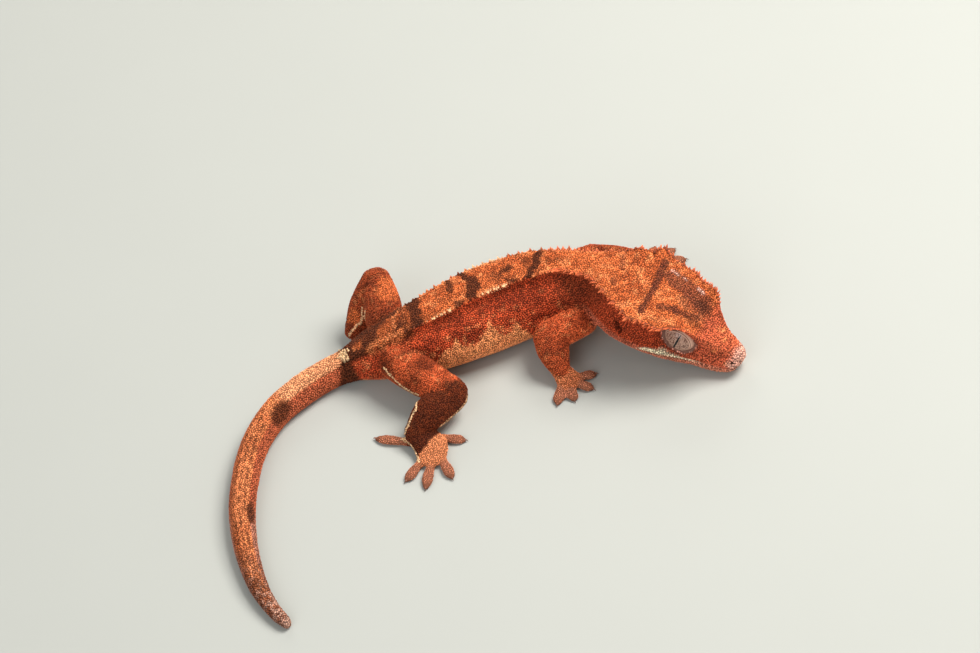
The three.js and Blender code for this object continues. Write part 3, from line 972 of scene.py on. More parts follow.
@dataclass
class Markings:
    """Colours of the skin from where each point lies on the body."""

    palette: Palette = PALETTE

    def mix(self, colour: Array, over: Colour, share: Array) -> Array:
        """Lays one colour over others.

        Args:
            colour: Linear colours in rows.
            over: The screen colour laid over them.
            share: How far it covers each row.

        Returns:
            The mixed colours.
        """
        return colour + (linear(over) - colour) * np.clip(share, 0.0, 1.0)[:, None]

    def trunk(self, points: Array, place: Array, around: Array) -> Array:
        """Colours of back, flank and belly.

        Args:
            points: Points in the pose's frame.
            place: Place along the axis.
            around: Place round the section.

        Returns:
            Linear colours in rows.
        """
        p = self.palette
        broad, fine, grain = noise(points, 3.2, 3), noise(points, 1.1, 5), noise(points, 0.5, 7, 1)
        out = np.abs(around)
        colour = np.tile(linear(p.flank), (len(points), 1))
        colour = self.mix(colour, p.flank_dark, smoothstep(0.42, 0.7, broad) * 0.75)
        flecks = smoothstep(0.6, 0.78, fine) * smoothstep(0.3, 0.55, out) * 0.45
        colour = self.mix(colour, p.flank_light, flecks)
        near = around < 0
        edge_x, edge_z = np.array(PALE_FLANK_TOP).T
        above = points[:, 2] - np.interp(points[:, 0], edge_x, edge_z)
        above = above + 2.0 * (fine - 0.5) + 1.4 * (grain - 0.5)
        pale = smoothstep(0.35, -0.35, above) * smoothstep(-13.0, -11.5, points[:, 0])
        colour = self.mix(colour, p.flank_light, np.where(near & (out > 0.3), pale * (0.6 + 0.5 * fine), 0.0))
        far = smoothstep(0.52, 0.6, noise(points, 2.6, 11)) * smoothstep(0.3, 0.45, out)
        colour = self.mix(colour, p.flank_light, np.where(near, 0.0, far))
        colour = self.mix(colour, p.belly, smoothstep(0.66, 0.8, out + 0.1 * (fine - 0.5)))
        band = smoothstep(0.25, 0.215, out + 0.03 * (grain - 0.5))
        back = np.tile(linear(p.back), (len(points), 1))
        back = self.mix(back, p.back_dark, smoothstep(0.42, 0.66, noise(points, 2.1, 9)) * 0.65)
        edge = smoothstep(0.1, 0.2, out) * smoothstep(0.35, 0.6, fine)
        back = self.mix(back, p.back_light, np.maximum(edge, smoothstep(0.55, 0.75, fine)) * 0.85)
        flat = fray(points, 1.1, 0.65, 61)
        dark = cover_all(DARK_BACK, flat, 0.6 * fine + 0.4 * grain)
        pelvis = smoothstep(13.0, 12.7, place + 0.3 * (fine - 0.5)) * smoothstep(10.6, 10.9, place)
        light = cover_all(LIGHT_PELVIS, flat, 0.5 * fine + 0.5 * grain)
        dark = np.maximum(dark, pelvis * (1.0 - 0.68 * light))
        dark = np.maximum(dark, 0.5 * smoothstep(0.66, 0.8, broad))
        back = self.mix(back, p.saddle_and_shadow, dark)
        # Painted shadow of the overhanging crest on the sides of the neck.
        painted_crest_shadow = smoothstep(15.2, 16.4, place) * smoothstep(0.22, 0.27, out) * smoothstep(0.62, 0.4, out)
        colour = self.mix(colour, p.saddle_and_shadow, 0.55 * painted_crest_shadow)
        wide = np.maximum(band, pelvis * smoothstep(0.42, 0.3, out))
        return colour + (back - colour) * wide[:, None]

    def tail(self, points: Array, place: Array, around: Array) -> Array:
        """Colours of the tail.

        Args:
            points: Points in the pose's frame.
            place: Place along the axis.
            around: Place round the section.

        Returns:
            Linear colours in rows.
        """
        p = self.palette
        fine, grain = noise(points, 1.2, 15), noise(points, 0.5, 17, 1)
        shift = around + 0.05 * (fine - 0.5) + 0.05 * (grain - 0.5)
        colour = np.tile(linear(p.tail_red), (len(points), 1))
        colour = self.mix(colour, p.tail_pink, smoothstep(5.4, 4.6, place))
        top = smoothstep(-0.36, -0.28, shift) * smoothstep(0.5, 0.4, shift)
        band = np.tile(linear(p.tail), (len(points), 1))
        band = self.mix(band, p.back_dark, smoothstep(0.5, 0.7, noise(points, 2.4, 19)) * 0.45)
        band = self.mix(band, p.back_light, smoothstep(0.5, 0.75, fine) * 0.7)
        band = self.mix(band, p.back_dark, smoothstep(0.04, 0.26, shift) * smoothstep(8.6, 7.6, place) * 0.55)
        band = self.mix(band, p.tail_pale, smoothstep(8.05, 8.4, place + 0.2 * (fine - 0.5)))
        lanes = sum(smoothstep(0.035, 0.012, np.abs(shift - lane)) for lane in (-0.12, 0.02, 0.16, 0.3))
        lines = np.clip(lanes, 0, 1) * smoothstep(7.9, 7.4, place) * smoothstep(0.4, 1.2, place)
        band = self.mix(band, p.saddle_and_shadow, lines * smoothstep(0.3, 0.52, fine) * 0.85)
        colour = colour + (band - colour) * (top * smoothstep(1.0, 2.6, place))[:, None]
        for middle, half, broad in ((7.95, 0.42, 0.27), (5.05, 0.36, 0.2)):
            notch = smoothstep(1.1, 0.7, np.hypot((place - middle) / half, (shift + 0.34) / broad))
            colour = self.mix(colour, p.saddle_and_shadow, notch * 0.95)
        colour = self.mix(colour, p.tail_brown, smoothstep(4.4, 2.6, place + 2.0 * (fine - 0.5)) * 0.75)
        flecks = smoothstep(0.46, 0.62, 0.5 * fine + 0.5 * grain) * smoothstep(4.2, 1.4, place)
        colour = self.mix(colour, p.tail_end, np.maximum(flecks, smoothstep(1.2, 0.5, place)) * 0.85)
        under = smoothstep(0.3, 0.5, np.abs(shift)) * smoothstep(6.5, 3.0, place)
        colour = self.mix(colour, p.saddle_and_shadow, under * 0.55)
        tuft = smoothstep(1.1, 0.6, np.hypot((place - 10.95) / 0.22, (shift + 0.04) / 0.16))
        colour = self.mix(colour, p.cream, tuft)
        edge = smoothstep(10.75, 11.05, place + 0.9 * np.abs(shift) + 0.25 * (fine - 0.5))
        return self.mix(colour, p.saddle_and_shadow, edge * (1.0 - tuft))

    def head(self, points: Array, around: Array) -> Array:
        """Colours of the head.

        Args:
            points: Points in the head's frame.
            around: Place round the section.

        Returns:
            Linear colours in rows.
        """
        p = self.palette
        x, _, z = points.T
        out = np.abs(around)
        fine, grain = noise(points, 1.3, 21), noise(points, 0.5, 23, 1)
        top = np.tile(linear(p.back), (len(points), 1))
        top = self.mix(top, p.back_dark, smoothstep(0.42, 0.66, noise(points, 2.0, 25)) * 0.7)
        top = self.mix(top, p.back_light, smoothstep(0.5, 0.75, fine) * 0.85)
        flat = fray(points, 1.2, 0.35, 63)
        for stroke in HEAD_BROWN:
            top = self.mix(top, p.crown, stroke.cover(flat, 0.6 * fine + 0.4 * grain))
        for stroke in HEAD_DARK:
            top = self.mix(top, p.stripe, stroke.cover(flat, 0.5 * fine + 0.5 * grain) * 0.9)
        # Painted highlights on the crown.
        for stroke in HEAD_PAINTED_HIGHLIGHTS:
            top = self.mix(top, p.snout_tip_and_highlight, stroke.cover(points[:, :2], grain))
        side = np.tile(linear(p.cheek), (len(points), 1))
        # Painted shadow under the crest, darkening the back of the head's sides.
        side = self.mix(side, p.saddle_and_shadow, 0.5 * smoothstep(-1.5, -4.5, x) * smoothstep(0.62, 0.4, out))
        side = self.mix(side, p.snout, smoothstep(8.0, 18.0, x) * 0.8)
        side = self.mix(side, p.jaw, smoothstep(-1.6, -2.6, z) * 0.4)
        split = smoothstep(0.25, 0.21, out + 0.03 * (grain - 0.5))
        snout = smoothstep(17.5, 19.5, x) * smoothstep(0.5, 0.2, out)
        split = np.maximum(split * smoothstep(20.0, 16.0, x), snout)
        top = self.mix(top, p.snout, smoothstep(15.5, 18.5, x) * 0.75)
        colour = side + (top - side) * split[:, None]
        flecks = smoothstep(17.0, 19.0, x) * smoothstep(0.62, 0.75, fine) * 0.7
        colour = self.mix(colour, p.back_light, flecks)
        colour = self.mix(colour, p.snout_tip_and_highlight, smoothstep(23.6, 25.6, x + 1.5 * (fine - 0.5)) * 0.9)
        line = lip_height(x)
        reach = np.interp(x, [7.0, 8.2, 11.5, 13.0, 18.0], [0.4, 1.5, 1.35, 0.85, 0.5]) * (0.8 + 0.4 * grain)
        cream = smoothstep(-0.4, -0.15, z - line) * smoothstep(1.15, 0.85, (z - line) / reach)
        cream *= smoothstep(6.2, 7.2, x) * smoothstep(20.5, 16.5, x) * smoothstep(0.3, 0.45, out)
        below = smoothstep(0.0, -0.5, z - line)
        colour = self.mix(colour, p.jaw, below * 0.8)
        colour = self.mix(colour, p.belly, smoothstep(0.75, 0.85, out) * 0.9)
        return self.mix(colour, p.lip, cream * (0.7 + 0.5 * fine))

    def leg(self, leg: Leg, points: Array, along: Array, around: Array) -> Array:
        """Colours of a leg.

        Args:
            leg: Which leg it is.
            points: Points in the pose's frame.
            along: 0 to 1 on the upper length, to 2 on the lower one, to 3 on the palm, to 4 on the toes.
            around: Turn round the leg, 0 on top, positive on its left.

        Returns:
            Linear colours in rows.
        """
        p = self.palette
        broad, fine, grain = noise(points, 2.6, 31), noise(points, 0.9, 33), noise(points, 0.45, 35, 1)
        colour = np.tile(linear(p.limb), (len(points), 1))
        colour = self.mix(colour, p.flank_light, smoothstep(0.56, 0.8, fine) * 0.5)
        colour = self.mix(colour, p.flank_dark, smoothstep(0.5, 0.75, broad) * 0.6)
        under = smoothstep(0.6, 0.8, np.abs(around))
        if leg is Leg.HIND_RIGHT:
            shin = smoothstep(0.75, 1.1, along + 0.3 * (fine - 0.5)) * smoothstep(3.1, 2.9, along)
            colour = self.mix(colour, p.limb_dark, 0.12 + smoothstep(0.35, 0.6, broad) * 0.5)
            colour = self.mix(colour, p.limb_dark, 0.9 * shin)
        elif leg is Leg.HIND_LEFT:
            colour = self.mix(colour, p.limb_dark, 0.45 + 0.2 * broad)
            for stroke in LEFT_KNEE_PALE:
                colour = self.mix(colour, p.back, stroke.cover(points[:, :2], 0.5 * fine + 0.5 * grain) * 0.8)
        elif leg is Leg.FORE_LEFT:
            colour = self.mix(colour, p.limb_dark, 0.4 + 0.2 * broad)
        else:
            colour = self.mix(colour, p.limb_dark, smoothstep(0.7, 1.1, along + 0.3 * (fine - 0.5)) * 0.3)
        foot = smoothstep(1.93, 2.15, along + 0.3 * (fine - 0.5)) * smoothstep(3.4, 3.1, along)
        bright = 0.55
        if leg is Leg.HIND_RIGHT:
            beside = (points[:, :2] - np.array(FOOT_EDGE_START)) @ np.array(FOOT_EDGE_NORMAL) + 0.3
            bright = smoothstep(-0.35, 0.35, beside + 0.9 * (fine - 0.5))
            foot = np.maximum(foot, smoothstep(1.5, 1.8, along) * smoothstep(3.4, 3.1, along))
        colour = self.mix(colour, p.toe, smoothstep(3.05, 3.25, along))
        colour = self.mix(colour, p.foot, foot * bright)
        return self.mix(colour, p.belly, under * smoothstep(3.0, 2.6, along) * 0.7)


def ear_ring(x: Array, z: Array) -> Array:
    """How far places on the head's side lie from the ear's slanting slit.

    Args:
        x: Places along the head.
        z: Their heights in the head's frame.

    Returns:
        0 in the slit's middle and 1 at its edge.
    """
    ahead, above = x - POSE.ear[0], z - POSE.ear[2]
    return np.hypot((0.68 * ahead - 0.73 * above) / 1.35, (0.73 * ahead + 0.68 * above) / 0.5)


def lip_height(x: Array) -> Array:
    """Height of the mouth's line in the head's frame.

    Args:
        x: Place along the head.

    Returns:
        The line's z.
    """
    (x0, z0), (x1, z1) = POSE.mouth_corner, POSE.mouth_tip
    return z0 + (x - x0) * (z1 - z0) / (x1 - x0)


# The skin


@dataclass
class Skin:
    """One closed skin over body, head and legs, with the folds, lids, lips, ears and nostrils."""

    axis: Axis
    markings: Markings
    material: Material
    voxel: float = 0.335
    ring_step: float = 0.5
    coat_depth: float = 0.1
    smoothing: int = 5
    floor_gap: float = 0.03
    leg_reach: float = 11.0
    lip_depth: float = 0.42
    lip_half: float = 0.28
    nostril_depth: float = 0.85
    nostril_radius: float = 0.42
    ear_depth: float = 1.3
    joint_fold: float = 0.07
    map_scale: float = 1.0 / 115.0

    def build(self) -> Piece:
        """Builds the skin.

        Returns:
            The skin, with its colours and the coat's maps as attributes.
        """
        self.gather()
        self.remesh()
        self.locate()
        self.sculpt()
        piece = self.finish_mesh()
        self.paint(piece)
        piece.data.materials.append(self.material)
        return piece

    def gather(self) -> None:
        """Collects the lofts and the trees that tell where a point of the skin belongs."""
        source = Source()
        places = self.axis.places(0.0, self.axis.last, self.ring_step)
        rings = self.axis.rings(places)
        source.add(rings)
        around = self.axis.around()
        self.trunk_tree = point_tree(rings.reshape(-1, 3))
        self.trunk_data = np.stack([np.repeat(places, len(around)), np.tile(around, len(places))], axis=1)
        self.leg_trees: dict[Leg, KDTree] = {}
        self.leg_data: dict[Leg, Array] = {}
        for leg in Leg:
            points, data = [], []
            for start, ring_set in LegShape(leg).lofts():
                source.add(ring_set)
                count, sides = ring_set.shape[:2]
                turn = np.arange(sides) / sides * 2.0
                turn = np.where(turn <= 1.0, turn, turn - 2.0)
                points.append(ring_set.reshape(-1, 3))
                along = np.repeat(start + np.linspace(0, 1, count), sides)
                data.append(np.stack([along, np.tile(turn, count)], 1))
            self.leg_trees[leg], self.leg_data[leg] = point_tree(np.vstack(points)), np.vstack(data)
        self.source = source

    def remesh(self) -> None:
        """Joins the lofts into one even mesh, in millimetres."""
        mesh = bpy.data.meshes.new("skin_source")
        mesh.from_pydata(np.vstack(self.source.points).tolist(), [], self.source.faces)
        carrier = new_object("skin_source", mesh)
        modifier = carrier.modifiers.new("join", "REMESH")
        modifier.mode = "VOXEL"
        modifier.voxel_size = self.voxel
        evaluated = carrier.evaluated_get(bpy.context.evaluated_depsgraph_get())
        self.mesh = bpy.data.meshes.new_from_object(evaluated)
        bpy.data.objects.remove(carrier)
        self.points = read_values(self.mesh.vertices, "co", 3).astype(float)
        self.edges = read_values(self.mesh.edges, "vertices", 2, np.int32)
        self.degree = np.bincount(self.edges.ravel(), minlength=len(self.points))[:, None]
        for _ in range(self.smoothing):
            self.relax(0.5)
            self.relax(-0.52)

    def relax(self, share: float) -> None:
        """Moves each point towards the middle of its neighbours.

        Args:
            share: How far each point goes.
        """
        count = len(self.points)
        a, b = self.edges.T
        sums = [np.bincount(a, v[b], count) + np.bincount(b, v[a], count) for v in self.points.T]
        step = share * (np.stack(sums, axis=1) / self.degree - self.points)
        self.points += step

    def normals(self) -> Array:
        """The points' normals.

        Returns:
            Unit vectors in rows.
        """
        self.mesh.vertices.foreach_set("co", self.points.astype(np.float32).ravel())
        self.mesh.update()
        return read_values(self.mesh.vertex_normals, "vector", 3).astype(float)

    def locate(self) -> None:
        """Finds where each point of the skin belongs."""
        count = len(self.points)
        trunk = [self.trunk_tree.find(p) for p in self.points]
        index = np.array([hit[1] for hit in trunk])
        distance = np.array([hit[2] for hit in trunk])
        self.place, self.around = self.trunk_data[index].T
        self.leg_share = {}
        self.leg_at = {}
        crease = np.zeros(count)
        for leg in Leg:
            tree, data = self.leg_trees[leg], self.leg_data[leg]
            limb = LIMBS[leg]
            all_rows = np.array([row[:3] for row in limb.upper + limb.lower + limb.palm])
            low, high = all_rows.min(0) - self.leg_reach, all_rows.max(0) + self.leg_reach
            near = np.flatnonzero(np.all((self.points > low) & (self.points < high), axis=1))
            hits = [tree.find(self.points[i]) for i in near]
            found = data[np.array([hit[1] for hit in hits])]
            share, at = np.zeros(count), np.zeros((count, 2))
            gap = distance[near] - np.array([hit[2] for hit in hits])
            share[near] = smoothstep(-0.5, 0.7, gap)
            crease[near] += np.exp(-((gap / 0.55) ** 2)) * smoothstep(1.0, 0.8, found[:, 0])
            at[near] = found
            self.leg_share[leg], self.leg_at[leg] = share, at
        self.crease = np.clip(crease, 0.0, 1.0)
        self.head_points = POSE.to_head(self.points)
        self.head_share = smoothstep(16.9, 17.6, self.place) * (1.0 - sum(self.leg_share.values()))

    def sculpt(self) -> None:
        """Adds lids, lips, nostrils, ears and folds."""
        x, y, z = self.head_points.T
        out = np.zeros((len(self.points), 3))
        head = np.clip(self.head_share, 0, 1)
        eye_x, eye_y, eye_z = POSE.eye
        long, wide, high = POSE.eye_size
        side = np.sign(y)
        ring = np.hypot((x - eye_x) / long, (z - eye_z) / high)
        on_side = smoothstep(1.0, 2.2, np.abs(y)) * head
        ball = eye_y + wide * np.sqrt(np.clip(1.0 - ring**2, 0.0, 1.0))
        inside = smoothstep(1.02, 0.9, ring) * on_side
        out[:, 1] += inside * side * (ball - 0.5 - np.abs(y))
        rim = np.exp(-(((ring - 1.08) / 0.1) ** 2)) * on_side
        lid = eye_y + 1.15 - np.abs(y)
        out[:, 1] += rim * side * np.clip(lid, 0.0, 0.45)
        slope = np.minimum(lid + 2.6 * np.maximum(ring - 1.05, 0.0), 0.0)
        out[:, 1] += smoothstep(1.9, 1.4, ring) * smoothstep(0.98, 1.02, ring) * on_side * side * slope
        groove = np.exp(-(((ring - 1.3) / 0.08) ** 2)) * on_side
        out[:, 1] -= groove * side * 0.2
        line = lip_height(x)
        lips = np.exp(-(((z - line) / self.lip_half) ** 2)) * smoothstep(5.6, 7.2, x) * head
        out[:, 1] -= lips * side * self.lip_depth
        out[:, 0] -= lips * smoothstep(24.5, 26.0, x) * 0.4
        nostril = np.array(POSE.nostril)
        near = np.linalg.norm(np.stack([x, np.abs(y), z], 1) - nostril, axis=1)
        out[:, 1] -= side * head * self.nostril_depth * np.exp(-((near / self.nostril_radius) ** 2))
        out[:, 1] += side * head * 0.16 * np.exp(-(((near - 0.85) / 0.25) ** 2))
        slit = ear_ring(x, z)
        out[:, 1] -= side * on_side * self.ear_depth * smoothstep(1.25, 0.6, slit)
        out[:, 1] += side * on_side * 0.16 * np.exp(-(((slit - 1.7) / 0.4) ** 2))
        self.points += out @ POSE.turn().T
        self.points += self.normals() * self.folds()[:, None]
        self.points -= self.normals() * self.coat_depth
        self.points[:, 2] = np.maximum(self.points[:, 2], self.floor_gap)

    def folds(self) -> Array:
        """Skin folds behind the head, at the shoulders and at the joints of the legs.

        Returns:
            How far each point moves along its normal.
        """
        points = self.points
        warp = noise(points, 2.4, 41)
        move = np.zeros(len(points))
        # Centre, reach, way, wavelength and height of each patch of folds.
        spots = [
            ((17.4, -6.4, 10.6), 3.4, (0.35, 0.2, 0.92), 0.95, 0.10),
            ((22.0, -6.0, 8.6), 2.6, (0.8, -0.4, 0.3), 1.1, 0.14),
            ((18.4, 6.4, 10.6), 3.2, (0.35, -0.2, 0.92), 0.95, 0.10),
            ((-17.5, -8.6, 8.6), 2.6, (0.7, -0.6, 0.3), 1.1, 0.10),
            ((-19.5, 3.6, 9.6), 2.6, (0.7, 0.6, 0.3), 1.1, 0.10),
        ]
        for centre, reach, way, wave, height in spots:
            offset = points - np.array(centre)
            mask = np.exp(-((np.linalg.norm(offset, axis=1) / reach) ** 2))
            phase = offset @ unit(np.array([way]))[0] / wave + 0.9 * warp
            move += height * mask * np.sin(2 * np.pi * phase)
        for leg in Leg:
            along = self.leg_at[leg][:, 0]
            for joint, reach in ((1.0, 0.22), (1.97, 0.16)):
                mask = np.exp(-(((along - joint) / reach) ** 2)) * self.leg_share[leg]
                move += self.joint_fold * mask * np.sin(2 * np.pi * (along * 7.0 + warp))
        slow = noise(points, 1.8, 43) - 0.5
        return move + 0.10 * slow * (1.0 - self.head_share) - 0.3 * self.crease

    def finish_mesh(self) -> Piece:
        """Moves the mesh to the solids' frame.

        Returns:
            The skin's object.
        """
        self.mesh.vertices.foreach_set("co", row_frame(self.points).astype(np.float32).ravel())
        self.mesh.update()
        self.mesh.shade_smooth()
        self.mesh.name = "skin"
        return new_object("skin", self.mesh)

    def paint(self, piece: Piece) -> None:
        """Writes the colours and the coat's maps as attributes of the skin.

        Args:
            piece: The skin.
        """
        points = self.points
        tail = self.markings.tail(points, self.place, self.around)
        colour = self.markings.trunk(points, self.place, self.around)
        colour += (tail - colour) * smoothstep(11.35, 11.1, self.place)[:, None]
        head = self.markings.head(POSE.to_head(points), self.around)
        colour += (head - colour) * smoothstep(16.6, 17.2, self.place)[:, None]
        bare = np.zeros(len(points))
        grain = np.ones(len(points))
        for leg in Leg:
            share = self.leg_share[leg]
            along, turn = self.leg_at[leg].T
            limb = self.markings.leg(leg, points, along, turn)
            colour += (limb - colour) * share[:, None]
            smaller = np.interp(along, [0, 2, 2.6, 3.2, 4], [1.0, 0.85, 0.75, 0.62, 0.5])
            grain = grain * (1 - share) + share * smaller
            bare = np.maximum(bare, share * smoothstep(3.8, 3.9, along))
        x, y, z = POSE.to_head(points).T
        head = np.clip(self.head_share, 0, 1)
        long, _, high = POSE.eye_size
        ring = np.hypot((x - POSE.eye[0]) / long, (z - POSE.eye[2]) / high)
        side = smoothstep(1.0, 2.2, np.abs(y)) * head
        bare = np.maximum(bare, smoothstep(1.13, 1.08, ring) * side)
        lid = smoothstep(1.16, 1.1, ring) * side
        colour += (linear(self.markings.palette.snout_tip_and_highlight) - colour) * (lid * 0.8)[:, None]
        # Painted shade in the groove round the eye.
        shade = np.exp(-(((ring - 1.28) / 0.07) ** 2)) * side
        colour *= (1.0 - 0.45 * shade)[:, None]
        # Painted shade in the ear slits and nostrils, which also carry no scales.
        shaded_hole = smoothstep(1.2, 0.8, ear_ring(x, z)) * side
        near = np.linalg.norm(np.stack([x, np.abs(y), z], 1) - np.array(POSE.nostril), axis=1)
        shaded_hole = np.maximum(shaded_hole, smoothstep(0.5, 0.3, near) * head)
        colour *= (1.0 - 0.9 * shaded_hole)[:, None]
        bare = np.maximum(bare, shaded_hole)
        grain = np.where(x > 15, np.interp(x, [15, 24], [1.0, 1.15]) * head + grain * (1 - head), grain)
        belly = smoothstep(0.12, 0.02, points[:, 2])
        self.colour = np.clip(colour, 0.0, 1.0)
        # The colours carry painted shadow under the crest, painted shade round the eyes, ears and nostrils,
        # and painted highlights on the crown.
        add_attribute(piece, "pigment", "FLOAT_VECTOR", self.colour)
        add_attribute(piece, "coated", "FLOAT", (1.0 - bare) * (1.0 - belly))
        add_attribute(piece, "grain", "FLOAT", grain)
        add_attribute(piece, "root", "FLOAT_VECTOR", self.unwrap())
        tests = [self.leg_share[leg] > 0.5 for leg in Leg]
        tests += [self.place > start for start in REGION_STARTS.values()]
        regions = [Region[leg.value.upper()].value for leg in Leg] + [r.value for r in REGION_STARTS]
        add_attribute(piece, "region", "FLOAT", np.select(tests, regions, Region.TAIL.value))

    def unwrap(self) -> Array:
        """An unwrap of the skin: body and head in one strip, tail and legs in others.

        Returns:
            U and V of each point, with a zero after them.
        """
        scale = self.map_scale
        reach = np.interp(self.place, self.axis.fine, self.axis.reach)
        start = np.interp(11.2, self.axis.fine, self.axis.reach)
        rows = spline(self.axis.rows, self.place)
        girth = np.pi * (rows[:, 8] + (rows[:, 6] + rows[:, 11]) / 2)
        width = self.around * girth / 2
        body = self.place > 11.2
        u = np.where(body, 0.02 + (reach - start) * scale, 0.02 + reach * scale)
        v = np.where(body, 0.28 + width * scale, 0.66 + width * scale)
        corners = [(0.02, 0.87), (0.34, 0.87), (0.66, 0.87), (0.74, 0.66)]
        for leg, corner in zip(Leg, corners):
            share = self.leg_share[leg] > 0.5
            along, turn = self.leg_at[leg].T
            u = np.where(share, corner[0] + along * 8.0 * scale, u)
            v = np.where(share, corner[1] + turn * 10.0 * scale, v)
        return np.stack([np.clip(u, 0.01, 0.99), np.clip(v, 0.01, 0.99), 0 * u], axis=1)


# Node trees


@dataclass
class Tree:
    """Short calls for filling a node tree."""

    tree: NodeTree

    def add(self, kind: str, settings: dict | None = None, **values: object) -> Node:
        """Adds a node.

        Args:
            kind: The node's type.
            settings: Properties of the node.
            values: Input sockets by name, with _ for a blank: a value, or a socket to link from.

        Returns:
            The node.
        """
        node = self.tree.nodes.new(kind)
        for key, value in (settings or {}).items():
            setattr(node, key, value)
        for key, value in values.items():
            self.feed(node.inputs[key.replace("_", " ")], value)
        return node

    def feed(self, socket: Socket, value: object) -> None:
        """Sets an input or links it.

        Args:
            socket: The input.
            value: A value, or the output to link from.
        """
        if isinstance(value, Socket):
            self.tree.links.new(value, socket)
        else:
            socket.default_value = value

    def math(self, operation: str, a: object, b: object = 0.0) -> Socket:
        """Adds a math node.

        Args:
            operation: What it does.
            a: First value or socket.
            b: Second value or socket.

        Returns:
            Its output.
        """
        node = self.add("ShaderNodeMath", {"operation": operation})
        self.feed(node.inputs[0], a)
        self.feed(node.inputs[1], b)
        return node.outputs[0]

    def times(self, first: object, *others: object) -> Socket:
        """Multiplies values.

        Args:
            first: First value or socket.
            others: The values or sockets that it is multiplied by.

        Returns:
            The product's output.
        """
        for other in others:
            first = self.math("MULTIPLY", first, other)
        return first

    def mix(self, factor: object, a: object, b: object) -> Socket:
        """Adds a colour mix.

        Args:
            factor: Share of b.
            a: First colour or socket.
            b: Second colour or socket.

        Returns:
            The mixed colour's output.
        """
        node = self.add("ShaderNodeMix", {"data_type": "RGBA", "blend_type": "MIX"})
        self.feed(node.inputs["Factor"], factor)
        self.feed(node.inputs[6], a)
        self.feed(node.inputs[7], b)
        return node.outputs[2]

    def ramp(self, value: Socket, start: float, end: float, low: float = 0.0, high: float = 1.0) -> Socket:
        """Adds a straight ramp.

        Args:
            value: What is ramped.
            start: Value that gives low.
            end: Value that gives high.
            low: Least result.
            high: Greatest result.

        Returns:
            The ramp's output.
        """
        ends = {"From_Min": start, "From_Max": end, "To_Min": low, "To_Max": high}
        return self.add("ShaderNodeMapRange", Value=value, **ends).outputs[0]

    def cloud(self, vector: Socket, scale: float, detail: float, distortion: float = 0.0) -> Socket:
        """Adds a noise texture.

        Args:
            vector: Where it is read.
            scale: Its scale.
            detail: Its detail.
            distortion: Its distortion.

        Returns:
            Its value's output.
        """
        values = {"Scale": scale, "Detail": detail, "Distortion": distortion}
        return self.add("ShaderNodeTexNoise", Vector=vector, **values).outputs["Fac"]

    def object_place(self) -> Socket:
        """Adds the object's own coordinates.

        Returns:
            Their output.
        """
        return self.add("ShaderNodeTexCoord").outputs["Object"]

    def attribute(self, name: str) -> Node:
        """Reads an attribute in a material.

        Args:
            name: The attribute's name.

        Returns:
            Its node.
        """
        return self.add("ShaderNodeAttribute", {"attribute_name": name})

    def stored(self, name: str, kind: str = "FLOAT") -> Socket:
        """Reads an attribute in a Geometry Nodes tree.

        Args:
            name: The attribute's name.
            kind: FLOAT or FLOAT_VECTOR.

        Returns:
            Its output.
        """
        return self.add("GeometryNodeInputNamedAttribute", {"data_type": kind}, Name=name).outputs[0]


def new_group(name: str, inputs: dict[str, tuple[str, object]], outputs: dict[str, str], kind: str) -> Tree:
    """Starts a node group with named sockets.

    Args:
        name: The group's name.
        inputs: Socket type and start value of each input.
        outputs: Socket type of each output.
        kind: ShaderNodeTree or GeometryNodeTree.

    Returns:
        The group's tree.
    """
    group = bpy.data.node_groups.new(name, kind)
    for key, (socket_type, value) in inputs.items():
        socket = group.interface.new_socket(key, in_out="INPUT", socket_type=socket_type)
        if value is not None:
            socket.default_value = value
    for key, socket_type in outputs.items():
        group.interface.new_socket(key, in_out="OUTPUT", socket_type=socket_type)
    return Tree(group)


# Materials


@dataclass(frozen=True)
class SkinFinish:
    """Finish of the skin between the scales, or of the scales and spines."""

    mottle: float
    bump: float
    grain_scale: float
    roughness: float
    specular: float


BARE_SKIN = SkinFinish(mottle=0.5, bump=0.5, grain_scale=2400.0, roughness=0.75, specular=0.1)
SCALE_SKIN = SkinFinish(mottle=0.4, bump=0.25, grain_scale=9000.0, roughness=0.55, specular=0.14)
# Painted shade between the scales, painted shade at a scale's root rising to a painted highlight at its tip,
# and the brightness of one scale beside another.
GAP_PAINTED_SHADE = 0.3
PAINTED_ROOT_SHADE_TIP_HIGHLIGHT = (0.3, 1.3)
VARIED_SHADE = (0.62, 1.38)
MOTTLE_SCALE = 4200.0
GRAIN_DEPTH = 0.00008


@dataclass(frozen=True)
class EyeFinish:
    """Finish of the eyes: screen colours, and sizes on the eye's own map."""

    iris: Colour = (186, 146, 126)
    vein: Colour = (100, 62, 46)
    rim: Colour = (222, 176, 152)
    pupil: tuple[float, float, float, float] = (0.004, 0.003, 0.003, 1.0)
    rim_starts: Point = (0.575, 0.615, 0.645)
    rim_step: float = 0.02
    pupil_reach: float = 0.3
    pupil_half: float = 0.02
    pupil_edge: float = 0.004
    roughness: float = 0.4
    coat: float = 0.5
    coat_roughness: float = 0.04
    specular: float = 0.1


@dataclass(frozen=True)
class ClawFinish:
    """Finish of the claws."""

    root: Colour = (150, 92, 66)
    tip: Colour = (66, 34, 24)
    roughness: float = 0.3
    streak_scale: float = 1800.0


@dataclass(frozen=True)
class FloorFinish:
    """Finish of the floor."""

    colour: Point = (0.42, 0.43, 0.4)
    roughness: float = 0.85
    pale: float = 1.03
    cloud_scale: float = 30.0


def colour_value(colour: Colour) -> tuple[float, float, float, float]:
    """A screen colour as a socket's value.

    Args:
        colour: Red, green and blue from 0 to 255.

    Returns:
        Linear red, green, blue and 1.
    """
    return (*linear(colour).tolist(), 1.0)


